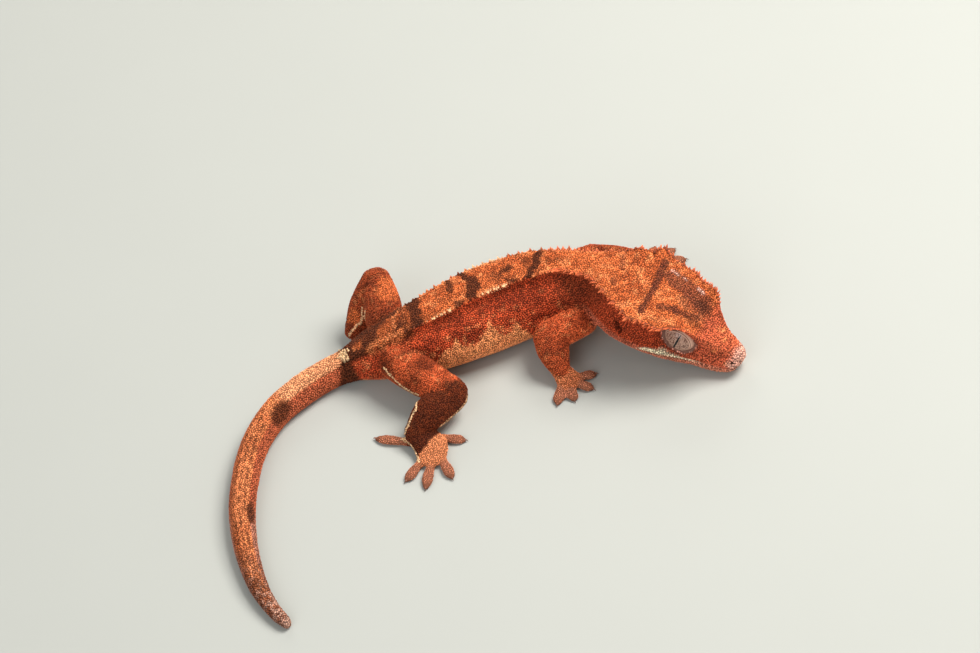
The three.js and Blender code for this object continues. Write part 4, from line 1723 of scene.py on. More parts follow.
@dataclass
class Materials:
    """The gecko's materials and the shader groups that they share."""

    eye: EyeFinish = field(default_factory=EyeFinish)
    claw: ClawFinish = field(default_factory=ClawFinish)
    floor: FloorFinish = field(default_factory=FloorFinish)

    def __post_init__(self) -> None:
        """Builds the shared groups."""
        self.pigment_and_shade_group = self.build_pigment_and_shade_group()
        self.grain_group = self.build_grain_group()

    def build_pigment_and_shade_group(self) -> NodeTree:
        """Group that gives the skin's colour with fine mottling, times a brightness that carries the painted
        shade and highlights of the skin and scales.

        Returns:
            The group.
        """
        tree = new_group(
            "Pigment",
            {"Shade": ("NodeSocketFloat", 1.0), "Mottle": ("NodeSocketFloat", 0.25)},
            {"Colour": "NodeSocketColor"},
            "ShaderNodeTree",
        )
        start = tree.add("NodeGroupInput")
        cloud = tree.cloud(tree.object_place(), MOTTLE_SCALE, 2.0)
        spread = tree.times(tree.math("SUBTRACT", cloud, 0.5), start.outputs["Mottle"], 2.0)
        level = tree.times(tree.math("ADD", spread, 1.0), start.outputs["Shade"])
        scaled = tree.add("ShaderNodeVectorMath", {"operation": "SCALE"}, Scale=level)
        tree.feed(scaled.inputs[0], tree.attribute("pigment").outputs["Vector"])
        tree.add("NodeGroupOutput", Colour=scaled.outputs[0])
        return tree.tree

    def build_grain_group(self) -> NodeTree:
        """Group that gives a normal roughened by fine grain.

        Returns:
            The group.
        """
        tree = new_group(
            "Grain",
            {"Strength": ("NodeSocketFloat", 0.3), "Scale": ("NodeSocketFloat", 3000.0)},
            {"Normal": "NodeSocketVector"},
            "ShaderNodeTree",
        )
        start = tree.add("NodeGroupInput")
        place, scale = tree.object_place(), start.outputs["Scale"]
        cells = tree.add("ShaderNodeTexVoronoi", {"feature": "F1"}, Vector=place, Scale=scale)
        height = tree.math("SUBTRACT", 1.0, cells.outputs["Distance"])
        strength = start.outputs["Strength"]
        bump = tree.add("ShaderNodeBump", Height=height, Distance=GRAIN_DEPTH, Strength=strength)
        tree.add("NodeGroupOutput", Normal=bump.outputs["Normal"])
        return tree.tree

    def start(self, name: str) -> tuple[Material, Tree]:
        """Starts a material.

        Args:
            name: Its name.

        Returns:
            The material and its tree.
        """
        material = bpy.data.materials.new(name)
        material.use_nodes = True
        return material, Tree(material.node_tree)

    def surface(self, tree: Tree, colour: Socket, roughness: float, **values: object) -> None:
        """Fills in the Principled shader of a material.

        Args:
            tree: The material's tree.
            colour: The base colour's socket.
            roughness: The roughness.
            values: Other inputs by name, with _ for a blank.
        """
        shader = tree.tree.nodes["Principled BSDF"]
        tree.feed(shader.inputs["Base Color"], colour)
        tree.feed(shader.inputs["Roughness"], roughness)
        for key, value in values.items():
            tree.feed(shader.inputs[key.replace("_", " ")], value)

    def dress(self, tree: Tree, finish: SkinFinish, shade: object) -> None:
        """Gives a material the pigment, scaled by its painted shade, and the grain.

        Args:
            tree: The material's tree.
            finish: Its finish.
            shade: Its brightness, which carries the painted shade: a value or a socket.
        """
        pigment = {"node_tree": self.pigment_and_shade_group}
        colour = tree.add("ShaderNodeGroup", pigment, Shade=shade, Mottle=finish.mottle)
        grain = {"node_tree": self.grain_group}
        normal = tree.add("ShaderNodeGroup", grain, Strength=finish.bump, Scale=finish.grain_scale)
        self.surface(
            tree,
            colour.outputs["Colour"],
            finish.roughness,
            Normal=normal.outputs["Normal"],
            Specular_IOR_Level=finish.specular,
        )

    def skin_material(self) -> Material:
        """The skin between the scales, darkened as painted shade.

        Returns:
            The material.
        """
        material, tree = self.start("skin_between_scales")
        # The skin's low brightness here is painted shade between the scales.
        self.dress(tree, BARE_SKIN, GAP_PAINTED_SHADE)
        return material

    def scale_material(self) -> Material:
        """The scales and spines: painted shade at the root, a painted highlight at the tip.

        Returns:
            The material.
        """
        material, tree = self.start("scales")
        # Painted shade at each scale's root rising to a painted highlight at its tip; the random brightness
        # of each scale is its own tone.
        shade = tree.ramp(tree.attribute("tip").outputs["Fac"], 0.0, 1.0, *PAINTED_ROOT_SHADE_TIP_HIGHLIGHT)
        part = tree.ramp(tree.attribute("vary").outputs["Fac"], 0.0, 1.0, *VARIED_SHADE)
        self.dress(tree, SCALE_SKIN, tree.times(shade, part))
        return material

    def iris_material(self) -> Material:
        """The iris with fine veins, a slit pupil and a pale rim, from the eye's own map.

        Returns:
            The material.
        """
        material, tree = self.start("iris")
        finish = self.eye
        place = tree.add("ShaderNodeUVMap", {"uv_map": "EyeMap"}).outputs["UV"]
        parts = tree.add("ShaderNodeSeparateXYZ", Vector=place)
        u = tree.math("SUBTRACT", parts.outputs["X"], 0.5)
        v = tree.math("SUBTRACT", parts.outputs["Y"], 0.5)
        square = tree.math("ADD", tree.math("POWER", u, 2.0), tree.math("POWER", v, 2.0))
        radius = tree.times(tree.math("SQRT", square), 2.0)
        stretch = tree.add("ShaderNodeMapping", Vector=place, Scale=(26.0, 9.0, 1.0))
        veins = tree.ramp(tree.cloud(stretch.outputs[0], 1.0, 6.0, 1.6), 0.44, 0.62)
        colour = tree.mix(veins, colour_value(finish.iris), colour_value(finish.vein))
        for start, shade in zip(finish.rim_starts, (finish.rim, finish.vein, finish.rim)):
            rim = tree.ramp(radius, start, start + finish.rim_step)
            colour = tree.mix(rim, colour, colour_value(shade))
        wobble = tree.times(tree.math("SUBTRACT", tree.cloud(place, 14.0, 1.0), 0.5), 0.02)
        reach = tree.math("DIVIDE", v, finish.pupil_reach)
        bulge = tree.math("SUBTRACT", 1.0, tree.math("POWER", tree.math("ABSOLUTE", reach), 4.0))
        half = tree.times(tree.math("MAXIMUM", bulge, 0.0), finish.pupil_half)
        inside = tree.math("SUBTRACT", half, tree.math("ABSOLUTE", tree.math("ADD", u, wobble)))
        colour = tree.mix(tree.ramp(inside, -finish.pupil_edge, finish.pupil_edge), colour, finish.pupil)
        self.surface(
            tree,
            colour,
            finish.roughness,
            Coat_Weight=finish.coat,
            Coat_Roughness=finish.coat_roughness,
            Specular_IOR_Level=finish.specular,
        )
        return material

    def claw_material(self) -> Material:
        """Horn of the claws, darker at the tip.

        Returns:
            The material.
        """
        material, tree = self.start("claw_horn")
        streak = tree.cloud(tree.object_place(), self.claw.streak_scale, 3.0)
        share = tree.times(tree.attribute("tip").outputs["Fac"], tree.math("ADD", streak, 0.5))
        colour = tree.mix(share, colour_value(self.claw.root), colour_value(self.claw.tip))
        self.surface(tree, colour, self.claw.roughness)
        return material

    def floor_material(self) -> Material:
        """The plain pale floor.

        Returns:
            The material.
        """
        material, tree = self.start("studio_floor")
        cloud = tree.cloud(tree.object_place(), self.floor.cloud_scale, 3.0)
        base = (*self.floor.colour, 1.0)
        pale = (*(min(1.0, c * self.floor.pale) for c in self.floor.colour), 1.0)
        self.surface(tree, tree.mix(cloud, base, pale), self.floor.roughness)
        return material


# Scales and spines

# Where the crest rows carry pale beads: spans of x for the left row (1) and the right one (-1).
BEADS = {1: ((-1.9, 2.0), (3.0, 5.5)), -1: ((-11.5, -6.4), (-0.3, 5.8))}
# Lanes of spines on a crest row: spacing, offset from the row, share of the length, half width.
CREST_LANES = (
    (1.7, 0.0, 1.0, 0.36),
    (0.85, 0.1, 0.55, 0.26),
    (0.6, 0.42, 0.42, 0.22),
    (0.6, -0.4, 0.4, 0.22),
)
# How long the crest's spines are along the body: places, then shares.
CREST_GROWTH = ((12.4, 13.5, 15.5, 17.0, 19.0, 21.5, 22.6), (0.5, 0.6, 0.85, 1.0, 1.3, 1.25, 1.0))
# Pale beaded fringes of the hind legs: points along each, and how pale it is.
FRINGES = [
    (
        [
            (-21.6, -9.6, 7.4), (-20.8, -10.9, 7.0), (-19.7, -12.4, 6.3), (-18.4, -14.0, 5.6),
            (-17.0, -16.0, 5.2), (-16.4, -18.6, 5.4), (-16.6, -20.6, 6.0), (-17.3, -21.3, 5.6),
            (-18.4, -22.5, 4.5), (-19.5, -23.6, 3.3), (-20.6, -23.8, 2.0), (-19.9, -25.5, 1.6),
            (-19.0, -27.8, 1.5), (-18.1, -30.8, 1.5),
        ],
        0.9,
    ),
    (
        [
            (-6.2, -19.6, 5.0), (-7.7, -21.2, 4.0), (-9.5, -22.4, 3.7),
            (-11.9, -24.1, 3.4), (-12.6, -24.6, 3.2),
        ],
        0.7,
    ),
    ([(-23.4, 7.9, 8.2), (-24.6, 5.8, 6.3), (-26.6, 5.6, 4.4), (-27.6, 5.4, 3.0)], 0.8),
    ([(-23.2, 4.8, 9.6), (-23.0, 4.4, 8.4), (-24.4, 4.6, 6.6)], 0.8),
]


def set_inputs(modifier: bpy.types.Modifier, values: dict[str, object]) -> None:
    """Sets a Geometry Nodes modifier's inputs by their sockets' identifiers.

    Args:
        modifier: The modifier.
        values: Values by the inputs' names.
    """
    for item in modifier.node_group.interface.items_tree:
        if item.item_type == "SOCKET" and item.in_out == "INPUT" and item.name in values:
            modifier[item.identifier] = values[item.name]


def bake_piece(name: str, carrier: Piece, group: NodeTree, values: dict[str, object]) -> Piece:
    """Runs a Geometry Nodes tree on an object and keeps the result as a plain mesh.

    Args:
        name: The new piece's name.
        carrier: The object whose mesh goes in.
        group: The tree.
        values: Its inputs.

    Returns:
        The new piece.
    """
    modifier = carrier.modifiers.new("grow", "NODES")
    modifier.node_group = group
    set_inputs(modifier, values)
    evaluated = carrier.evaluated_get(bpy.context.evaluated_depsgraph_get())
    mesh = bpy.data.meshes.new_from_object(evaluated)
    carrier.modifiers.remove(modifier)
    mesh.name = name
    return new_object(name, mesh)


def map_patches(piece: Piece, patch: float = 0.003) -> None:
    """Gives each scale or spine a small patch of the bake map at its root's place.

    Args:
        piece: The piece, with its root's place and its own local place as attributes.
        patch: The patch's size.
    """
    root = read_values(piece.data.attributes["root"].data, "vector", 3)[:, :2]
    local = read_values(piece.data.attributes["local"].data, "vector", 3)[:, :2]
    add_map(piece, "OFBake", root + local * patch * 0.5)


def finish_planting(tree: Tree, planted: Node, seed: object, material: Socket) -> NodeTree:
    """Ends a tree that plants forms: each gets a number for its shade, a real mesh and a material.

    Args:
        tree: The tree.
        planted: The node that plants the forms.
        seed: Seed of the shades.
        material: The material's socket.

    Returns:
        The finished tree.
    """
    vary = tree.add("FunctionNodeRandomValue", {"data_type": "FLOAT"}, Seed=seed)
    each = {"data_type": "FLOAT", "domain": "INSTANCE"}
    store = tree.add("GeometryNodeStoreNamedAttribute", each, Geometry=planted.outputs[0], Name="vary")
    tree.feed(store.inputs["Value"], vary.outputs[1])
    real = tree.add("GeometryNodeRealizeInstances", Geometry=store.outputs[0])
    paint = tree.add("GeometryNodeSetMaterial", Geometry=real.outputs[0], Material=material)
    tree.add("NodeGroupOutput", Geometry=paint.outputs[0])
    return tree.tree


def seed_mesh(name: str, rings: list[Point], sides: int, lean: float = 0.0) -> Piece:
    """A small closed-topped form of one unit, which the trees plant over the skin.

    Args:
        name: Its name.
        rings: Radius, height and tip value of each ring from the root up; the last is the point.
        sides: Sides of each ring.
        lean: How far the point leans.

    Returns:
        The form's object, which is removed once the coat is made.
    """
    points, tips, local, faces = [], [], [], []
    for radius, height, tip in rings[:-1]:
        for side in range(sides):
            turn = 2 * math.pi * side / sides
            ahead, beside, near = math.cos(turn), math.sin(turn), 1 - 0.8 * tip
            points.append((radius * ahead + lean * max(height, 0) ** 2, radius * beside, height))
            tips.append(tip)
            local.append((ahead * near, beside * near, 0.0))
    _, height, tip = rings[-1]
    points.append((lean * height**2, 0.0, height))
    tips.append(tip)
    local.append((0.0, 0.0, 0.0))
    for ring in range(len(rings) - 2):
        for side in range(sides):
            a, b = ring * sides + side, ring * sides + (side + 1) % sides
            faces.append((a, b, b + sides, a + sides))
    low = (len(rings) - 2) * sides
    faces += [(low + side, low + (side + 1) % sides, len(points) - 1) for side in range(sides)]
    seed = smooth_object(name, points, faces)
    add_attribute(seed, "tip", "FLOAT", tips)
    add_attribute(seed, "local", "FLOAT_VECTOR", local)
    return seed


@dataclass
class Scales:
    """Bead-like scales planted over the skin by Geometry Nodes."""

    material: Material
    spacing: float = 0.34
    radius: float = 0.21
    height: float = 0.13
    leg_spacing: float = 0.8
    leg_radius: float = 0.95
    smallest: float = 0.82
    largest: float = 1.18
    densest: float = 4.0e7
    first_seed: int = 11
    vary_seed: int = 7
    sides: int = 6

    def tree(self) -> NodeTree:
        """The tree that plants the scales.

        Returns:
            The Geometry Nodes tree.
        """
        tree = new_group(
            "PlantScales",
            {
                "Geometry": ("NodeSocketGeometry", None),
                "Scale Form": ("NodeSocketObject", None),
                "Region": ("NodeSocketFloat", 0.0),
                "Spacing": ("NodeSocketFloat", 0.0004),
                "Radius": ("NodeSocketFloat", 0.0002),
                "Height": ("NodeSocketFloat", 0.0001),
                "Seed": ("NodeSocketInt", 1),
                "Material": ("NodeSocketMaterial", None),
            },
            {"Geometry": "NodeSocketGeometry"},
            "GeometryNodeTree",
        )
        start = tree.add("NodeGroupInput")
        away = tree.math("ABSOLUTE", tree.math("SUBTRACT", tree.stored("region"), start.outputs["Region"]))
        density = tree.times(tree.math("LESS_THAN", away, 0.5), tree.stored("coated"))
        spread = tree.add(
            "GeometryNodeDistributePointsOnFaces",
            {"distribute_method": "POISSON"},
            Mesh=start.outputs["Geometry"],
            Distance_Min=start.outputs["Spacing"],
            Density_Max=self.densest,
            Density_Factor=density,
            Seed=start.outputs["Seed"],
        )
        chance = tree.add("FunctionNodeRandomValue", {"data_type": "FLOAT"})
        tree.feed(chance.inputs[2], self.smallest)
        tree.feed(chance.inputs[3], self.largest)
        grain = tree.stored("grain")
        size = tree.times(chance.outputs[1], start.outputs["Radius"], grain)
        tall = tree.times(chance.outputs[1], start.outputs["Height"], grain)
        shape = tree.add("ShaderNodeCombineXYZ", X=size, Y=size, Z=tall)
        form = tree.add("GeometryNodeObjectInfo", Object=start.outputs["Scale Form"])
        plant = tree.add(
            "GeometryNodeInstanceOnPoints",
            Points=spread.outputs["Points"],
            Instance=form.outputs["Geometry"],
            Rotation=spread.outputs["Rotation"],
            Scale=shape.outputs[0],
        )
        return finish_planting(tree, plant, self.vary_seed, start.outputs["Material"])

    def build(self, skin: Piece) -> list[Piece]:
        """Plants the scales.

        Args:
            skin: The skin that they stand on.

        Returns:
            One piece for each region of the skin.
        """
        rings = [(1.0, -0.35, 0.0), (0.93, 0.3, 0.45), (0.52, 0.86, 0.9), (0.0, 1.0, 1.0)]
        seed = seed_mesh("scale_form", rings, self.sides)
        tree = self.tree()
        pieces = []
        for region in Region:
            leg = "LEG" in region.name
            values = {
                "Scale Form": seed,
                "Region": float(region),
                "Spacing": self.spacing * (self.leg_spacing if leg else 1.0) * MILLIMETRE,
                "Radius": self.radius * (self.leg_radius if leg else 1.0) * MILLIMETRE,
                "Height": self.height * MILLIMETRE,
                "Seed": self.first_seed + int(region),
                "Material": self.material,
            }
            piece = bake_piece(f"scales_{region.name.lower()}", skin, tree, values)
            map_patches(piece)
            pieces.append(piece)
        bpy.data.objects.remove(seed)
        return pieces


@dataclass
class SpineRow:
    """Roots for a set of spines: places, ways, lengths, widths and colours."""

    points: list[Array] = field(default_factory=list)
    ways: list[Array] = field(default_factory=list)
    lengths: list[Array] = field(default_factory=list)
    widths: list[Array] = field(default_factory=list)
    colours: list[Array] = field(default_factory=list)

    def add(self, points: Array, ways: Array, lengths: Array, widths: Array, colours: Array) -> None:
        """Adds spines.

        Args:
            points: Roots in the pose's frame.
            ways: Directions.
            lengths: Lengths in millimetres.
            widths: Half widths of the roots in millimetres.
            colours: Linear colours.
        """
        self.points.append(points)
        self.ways.append(unit(ways))
        self.lengths.append(lengths)
        self.widths.append(widths)
        self.colours.append(colours)


@dataclass
class Spines:
    """Crest, brow and fringe spines planted on their lines by Geometry Nodes."""

    material: Material
    axis: Axis
    skin: Skin
    seed: int = 5
    sides: int = 6
    lean: float = 0.25

    def tree(self) -> NodeTree:
        """The tree that plants a spine on each root.

        Returns:
            The Geometry Nodes tree.
        """
        tree = new_group(
            "PlantSpines",
            {
                "Geometry": ("NodeSocketGeometry", None),
                "Spine Form": ("NodeSocketObject", None),
                "Seed": ("NodeSocketInt", 1),
                "Material": ("NodeSocketMaterial", None),
            },
            {"Geometry": "NodeSocketGeometry"},
            "GeometryNodeTree",
        )
        start = tree.add("NodeGroupInput")
        way = tree.stored("way", "FLOAT_VECTOR")
        turn = tree.add("FunctionNodeAlignRotationToVector", {"axis": "Z"}, Vector=way)
        form = tree.add("GeometryNodeObjectInfo", Object=start.outputs["Spine Form"])
        plant = tree.add(
            "GeometryNodeInstanceOnPoints",
            Points=start.outputs["Geometry"],
            Instance=form.outputs["Geometry"],
            Rotation=turn.outputs[0],
            Scale=tree.stored("size", "FLOAT_VECTOR"),
        )
        return finish_planting(tree, plant, start.outputs["Seed"], start.outputs["Material"])

    def build(self) -> Piece:
        """Plants all spines.

        Returns:
            The spines' piece.
        """
        rows = SpineRow()
        chance = np.random.default_rng(self.seed)
        polygons = self.skin.mesh.polygons
        surface = BVHTree.FromPolygons(self.skin.points.tolist(), [tuple(p.vertices) for p in polygons])
        self.tree_of_skin = point_tree(self.skin.points)
        self.crest(rows, chance)
        self.brow(rows, chance)
        self.tuft(rows, chance)
        self.fringes(rows, chance)
        points = np.vstack(rows.points)
        hits = [surface.find_nearest(Vector(p)) for p in points]
        on_skin = np.array([hit[0][:] for hit in hits])
        root = self.skin.unwrap()[[polygons[hit[2]].vertices[0] for hit in hits]]
        carrier = new_mesh("spine_roots", on_skin, [])
        width, length = np.concatenate(rows.widths), np.concatenate(rows.lengths)
        sizes = np.stack([width, width, length], axis=1) * MILLIMETRE
        add_attribute(carrier, "way", "FLOAT_VECTOR", np.vstack(rows.ways))
        add_attribute(carrier, "size", "FLOAT_VECTOR", sizes)
        add_attribute(carrier, "pigment", "FLOAT_VECTOR", np.vstack(rows.colours))
        add_attribute(carrier, "root", "FLOAT_VECTOR", root)
        rings = [(1.05, -0.3, 0.0), (0.9, 0.12, 0.2), (0.62, 0.42, 0.5), (0.3, 0.75, 0.85), (0.0, 1.0, 1.0)]
        seed = seed_mesh("spine_form", rings, self.sides, self.lean)
        values = {"Spine Form": seed, "Seed": self.seed, "Material": self.material}
        piece = bake_piece("spines", carrier, self.tree(), values)
        map_patches(piece)
        bpy.data.objects.remove(seed)
        bpy.data.objects.remove(carrier)
        LOG.info("spines: %d", len(points))
        return piece

    def crest(self, rows: SpineRow, chance: np.random.Generator) -> None:
        """Spines of the crest rows from the hips to the brow.

        Args:
            rows: Where they are added.
            chance: Source of small differences.
        """
        for side in (1, -1):
            for lane, (spacing, offset, share, width) in enumerate(CREST_LANES):
                places = self.axis.places(12.4 if lane < 2 else 13.4, 22.6, spacing)
                places = places + chance.normal(0, 0.006 * spacing, len(places))
                points, ways = self.axis.crest_line(places, side, 0.9 - 0.3 * offset, 0.5 + 0.3 * offset)
                _, forward, left, up = self.axis.frames(places)
                on_head = smoothstep(16.5, 17.5, places)[:, None]
                ways = ways + on_head * (0.5 * side * left - 0.35 * up - 0.25 * forward)
                points = points + offset * (up - 0.6 * side * left) - 0.18 * ways
                ways = ways - 0.2 * forward + chance.normal(0, 0.1, points.shape)
                grow = np.interp(places, *CREST_GROWTH)
                lengths = 1.05 * share * grow * chance.uniform(0.8, 1.2, len(points))
                widths = width * chance.uniform(0.85, 1.15, len(points))
                base = self.skin_colour(points)
                warm = linear(PALETTE.crest)[None] * chance.uniform(0.75, 1.15, (len(points), 1))
                x = points[:, 0]
                spans = [(a - 0.3, a + 0.3, b + 0.3, b - 0.3) for a, b in BEADS[side]]
                beads = sum(smoothstep(a, b, x) * smoothstep(c, d, x) for a, b, c, d in spans)
                pale = beads * (1.0 if lane < 2 else 0.5)
                colour = base + (warm - base) * (smoothstep(15.0, 16.0, places) * 0.8)[:, None]
                colour = colour + (linear(PALETTE.bead)[None] - colour) * pale[:, None]
                rows.add(points, ways, lengths, widths, colour)

    def skin_colour(self, points: Array) -> Array:
        """The skin's colour nearest to some points.

        Args:
            points: Points in the pose's frame.

        Returns:
            Linear colours in rows.
        """
        return self.skin.colour[[self.tree_of_skin.find(p)[1] for p in points]]

    def brow(self, rows: SpineRow, chance: np.random.Generator) -> None:
        """Small pointed scales over the eyes.

        Args:
            rows: Where they are added.
            chance: Source of small differences.
        """
        for side in (1, -1):
            places = self.axis.places(22.2, 24.7, 0.42)
            for offset in (0.0, 0.3):
                points, ways = self.axis.crest_line(places, side, 0.7, 0.7)
                _, forward, left, up = self.axis.frames(places)
                points = points + offset * (0.5 * up - side * left)
                ways = ways + 0.15 * forward + chance.normal(0, 0.1, points.shape)
                lengths = 0.75 * chance.uniform(0.7, 1.15, len(points)) * (1.0 if offset == 0 else 0.7)
                widths = 0.24 * chance.uniform(0.85, 1.15, len(points))
                colour = linear(PALETTE.crest)[None] * chance.uniform(0.8, 1.2, (len(points), 1))
                rows.add(points, ways, lengths, widths, colour)

    def tuft(self, rows: SpineRow, chance: np.random.Generator) -> None:
        """The pale knot of pointed scales at the tail's root.

        Args:
            rows: Where they are added.
            chance: Source of small differences.
        """
        count = 26
        centre = np.array([-29.0, -3.6, 7.2])
        points = centre + chance.normal(0, 1.0, (count, 3)) * np.array([0.9, 0.7, 0.1])
        ways = np.array([[-0.6, -0.1, 0.8]]) + chance.normal(0, 0.25, (count, 3))
        lengths = chance.uniform(0.4, 0.75, count)
        colour = linear(PALETTE.cream)[None] * chance.uniform(0.8, 1.1, (count, 1))
        rows.add(points, ways, lengths, np.full(count, 0.3), colour)

    def fringes(self, rows: SpineRow, chance: np.random.Generator) -> None:
        """Pale beaded fringes along the rear edges of the hind legs.

        Args:
            rows: Where they are added.
            chance: Source of small differences.
        """
        for line, pale in FRINGES:
            corners = np.array(line)
            reach = np.concatenate([[0.0], np.cumsum(np.linalg.norm(np.diff(corners, axis=0), axis=1))])
            places = np.interp(np.arange(0.0, reach[-1], 0.3), reach, np.arange(len(corners)))
            centre = spline(corners, places)
            for _ in range(2):
                points = centre + chance.normal(0, 0.14, centre.shape)
                ways = np.array([[-0.2, -0.55, 0.6]]) + chance.normal(0, 0.2, points.shape)
                lengths = 0.4 * chance.uniform(0.7, 1.2, len(points))
                cream = linear(PALETTE.cream)[None] * chance.uniform(0.8, 1.1, (len(points), 1))
                warm = linear(PALETTE.back_light)[None]
                rows.add(points, ways, lengths, np.full(len(points), 0.25), warm + (cream - warm) * pale)


# Eyes and claws


@dataclass
class Eyes:
    """Oval eyes under the brows."""

    material: Material
    pupil_tilt: float = 7.0
    rings: int = 40
    sides: int = 64

    def ball(self, name: str, side: int) -> Piece:
        """An oval ball whose pole looks out of the socket.

        Args:
            name: The piece's name.
            side: 1 for the left eye, -1 for the right one.

        Returns:
            The ball, with a map of its own over the outward half.
        """
        rings, sides = self.rings, self.sides
        long, wide, high = POSE.eye_size
        tilt = math.radians(self.pupil_tilt)
        points, uvs = [], []
        for ring in range(rings + 1):
            polar = math.pi * ring / rings
            spread = min(polar / math.pi, 0.5)
            for step in range(sides):
                turn = 2 * math.pi * step / sides
                a = math.sin(polar) * math.cos(turn)
                b = math.sin(polar) * math.sin(turn)
                points.append((long * a, wide * math.cos(polar), high * b))
                uvs.append((0.5 + spread * math.cos(turn + tilt), 0.5 + spread * math.sin(turn + tilt)))
        faces = []
        for ring in range(rings):
            for step in range(sides):
                a, b = ring * sides + step, ring * sides + (step + 1) % sides
                faces.append((a, b, b + sides, a + sides) if side > 0 else (a, a + sides, b + sides, b))
        points = np.array(points)
        points[:, 1] = side * (points[:, 1] + POSE.eye[1])
        points[:, 0] += POSE.eye[0]
        points[:, 2] += POSE.eye[2]
        piece = new_mesh(name, POSE.from_head(points), faces)
        add_map(piece, "EyeMap", np.array(uvs))
        weld(piece)
        return piece

    def build(self) -> list[Piece]:
        """Builds both eyes.

        Returns:
            The two eyes.
        """
        pieces = []
        for side, name in ((1, "left"), (-1, "right")):
            eye = self.ball(f"iris_{name}", side)
            eye.data.materials.append(self.material)
            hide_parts(f"eye_{name}")
            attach(eye, "root")
            pieces.append(eye)
        return pieces


def weld(piece: Piece, gap: float = 1e-6) -> None:
    """Joins points that lie together, so that poles are closed.

    Args:
        piece: The piece.
        gap: Largest distance in metres.
    """
    form = bmesh.new()
    form.from_mesh(piece.data)
    bmesh.ops.remove_doubles(form, verts=form.verts, dist=gap)
    bmesh.ops.dissolve_degenerate(form, edges=form.edges, dist=gap)
    bmesh.ops.recalc_face_normals(form, faces=form.faces)
    form.to_mesh(piece.data)
    form.free()


@dataclass
class Claws:
    """Small hooked claws at the toes' tips."""

    material: Material
    length: float = 1.1
    radius: float = 0.2
    tip_radius: float = 0.015
    height: float = 0.42
    sunk: float = 0.55
    rings: int = 9
    sides: int = 10

    def claw(self, start: Place, end: Place) -> Array:
        """One hooked claw.

        Args:
            start: The x and y of its toe's root.
            end: The x and y of its toe's tip.

        Returns:
            Array of rings by sides by 3.
        """
        forward = unit(np.array([[end[0] - start[0], end[1] - start[1], 0.0]]))[0]
        left = np.array([-forward[1], forward[0], 0.0])
        turn = 2 * np.pi * np.arange(self.sides) / self.sides
        across = np.cos(turn)[:, None] * left + np.sin(turn)[:, None] * np.array([0, 0, 1.0])
        rings = []
        for ring in range(self.rings):
            share = ring / (self.rings - 1)
            bend = math.radians(10 + 55 * share)
            reach = self.length * share
            centre = np.array([*end, self.height]) + forward * (reach * math.cos(bend * 0.5) - self.sunk)
            centre[2] += 0.22 * math.sin(math.pi * min(1.0, share * 1.15)) - 0.25 * share**2
            rings.append(centre + (self.radius * (1.0 - share) ** 0.8 + self.tip_radius) * across)
        return np.array(rings)

    def build(self) -> Piece:
        """Builds all claws as one piece.

        Returns:
            The claws.
        """
        points, faces, tips, first = [], [], [], 0
        for leg in Leg:
            for start, end in LIMBS[leg].toes:
                stacked = loft_points(self.claw(start, end))
                stacked[:, 2] = np.maximum(stacked[:, 2], 0.02)
                tips += np.repeat(np.linspace(0.0, 1.0, self.rings), self.sides).tolist() + [0.0, 1.0]
                faces += loft_faces(self.rings, self.sides, first)
                first += len(stacked)
                points.append(stacked)
        piece = new_mesh("claws", np.vstack(points), faces)
        add_attribute(piece, "tip", "FLOAT", tips)
        weld(piece)
        piece.data.materials.append(self.material)
        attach(piece, "root")
        return piece


# Studio


@dataclass(frozen=True)
class Lamp:
    """A square area light: its name, where it stands from the gecko, its size, power and colour."""

    name: str
    at: Point
    size: float
    power: float
    colour: Point


LAMPS = (
    Lamp("key", (0.34, 0.10, 0.52), 0.34, 6.0, (1.0, 0.97, 0.93)),
    Lamp("fill", (-0.4, -0.6, 0.45), 0.6, 3.0, (0.95, 0.97, 1.0)),
    Lamp("back", (-0.1, 0.7, 0.4), 0.4, 1.6, (1.0, 0.98, 0.95)),
)


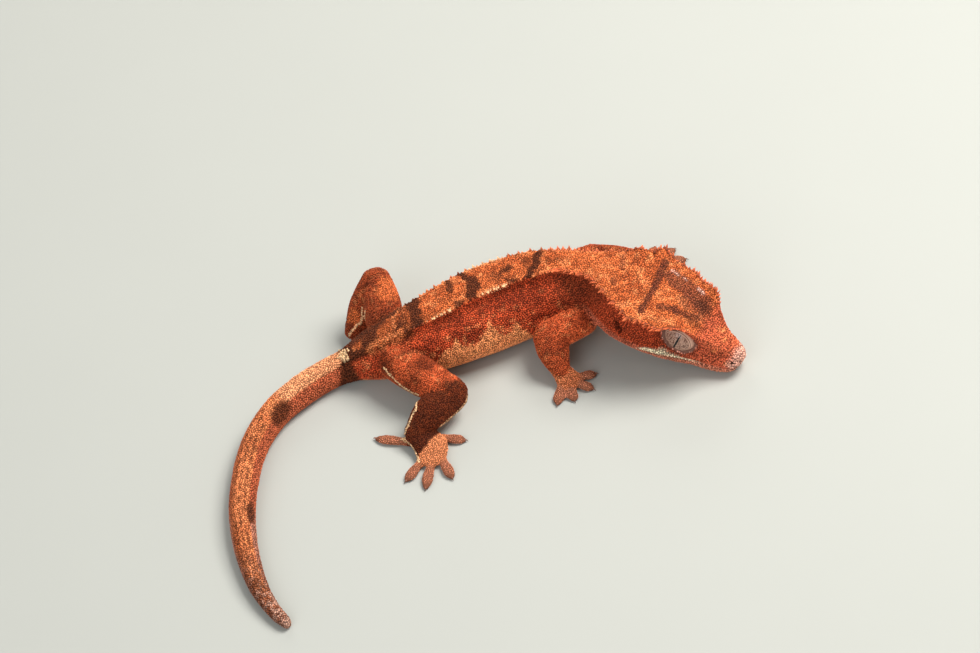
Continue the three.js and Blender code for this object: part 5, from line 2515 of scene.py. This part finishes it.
@dataclass
class Studio:
    """Floor, lights and the camera at the photo's viewing angle."""

    floor_material: Material
    elevation: float = 45.0
    roll: float = 10.7
    distance: float = 1090.0
    pixel: float = 0.2
    width: int = 980
    lift: float = 13.5
    sensor: float = 36.0
    floor_half: float = 3.0
    floor_front: float = -2.0
    bend_start: float = 1.2
    bend_radius: float = 0.6
    wall_top: float = 2.4
    sky: tuple[float, float, float, float] = (0.86, 0.87, 0.85, 1.0)
    sky_strength: float = 0.45

    def build(self) -> None:
        """Builds the studio."""
        self.build_camera()
        self.build_floor()
        self.build_lights()

    def build_camera(self) -> None:
        """Places the camera so that the pose's origin falls on its pixel of the photo."""
        elevation, roll = math.radians(self.elevation), math.radians(self.roll)
        right = Vector((1.0, 0.0, 0.0))
        up = Vector((0.0, math.sin(elevation), math.cos(elevation)))
        back = Vector((0.0, -math.cos(elevation), math.sin(elevation)))
        turned_right = right * math.cos(roll) - up * math.sin(roll)
        turned_up = right * math.sin(roll) + up * math.cos(roll)
        data = bpy.data.cameras.new("camera")
        data.sensor_width = self.sensor
        data.lens = self.distance / self.pixel * data.sensor_width / self.width
        data.shift_y = self.lift / self.width
        data.clip_start, data.clip_end = 0.01, 20.0
        camera = new_object("camera", data)
        place = Vector(row_frame(np.zeros(3))) + back * self.distance * MILLIMETRE
        turn = Matrix((turned_right, turned_up, back)).transposed().to_4x4()
        camera.matrix_world = Matrix.Translation(place) @ turn
        bpy.context.scene.camera = camera

    def build_floor(self) -> None:
        """A broad floor that rises softly far behind."""
        rows = [(y, 0.0) for y in np.linspace(self.floor_front, self.bend_start, 9)]
        for turn in (math.radians(90 * step / 12) for step in range(1, 13)):
            y = self.bend_start + self.bend_radius * math.sin(turn)
            rows.append((y, self.bend_radius * (1 - math.cos(turn))))
        rows.append((self.bend_start + self.bend_radius, self.wall_top))
        points = [(x, y, z) for y, z in rows for x in (-self.floor_half, self.floor_half)]
        faces = [(i, i + 1, i + 3, i + 2) for i in range(0, 2 * len(rows) - 2, 2)]
        floor = smooth_object("floor", points, faces)
        floor.data.materials.append(self.floor_material)

    def build_lights(self) -> None:
        """A soft key from the upper right, a weak fill and a pale sky."""
        target = Vector(row_frame(np.array([0.0, -10.0, 5.0])))
        for lamp in LAMPS:
            data = bpy.data.lights.new(lamp.name, "AREA")
            data.shape = "SQUARE"
            data.size = lamp.size
            data.energy = lamp.power
            data.color = lamp.colour
            light = new_object(lamp.name, data)
            light.location = target + Vector(lamp.at)
            light.rotation_euler = (-Vector(lamp.at)).to_track_quat("-Z", "Y").to_euler()
        world = bpy.data.worlds.new("studio")
        world.use_nodes = True
        background = world.node_tree.nodes["Background"]
        background.inputs["Color"].default_value = self.sky
        background.inputs["Strength"].default_value = self.sky_strength
        bpy.context.scene.world = world
        bpy.context.scene.view_settings.view_transform = "Standard"


def flesh_nodes() -> list[str]:
    """Names of the nodes that the skin stands for.

    Returns:
        All nodes but the eyes.
    """
    return [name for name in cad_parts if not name.startswith("eye")]


def report(pieces: list[Piece]) -> None:
    """Logs what has been built.

    Args:
        pieces: The new pieces.
    """
    for piece in pieces:
        triangles = sum(len(p.vertices) - 2 for p in piece.data.polygons)
        LOG.info("%s: %d triangles", piece.name, triangles)


def main() -> None:
    """Builds the gecko and the studio."""
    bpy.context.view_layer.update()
    materials = Materials()
    Studio(materials.floor_material()).build()
    LOG.info("studio: floor, camera and %d lights", len(LAMPS))
    axis = Axis()
    maker = Skin(axis, Markings(), materials.skin_material())
    skin = maker.build()
    report([skin])
    scale_material = materials.scale_material()
    coat = Scales(scale_material).build(skin)
    coat.append(Spines(scale_material, axis, maker).build())
    report(coat)
    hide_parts(*flesh_nodes())
    for piece in [skin, *coat]:
        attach(piece, "root")
    report(Eyes(materials.iris_material()).build())
    report([Claws(materials.claw_material()).build()])


if __name__ == "__main__":
    main()
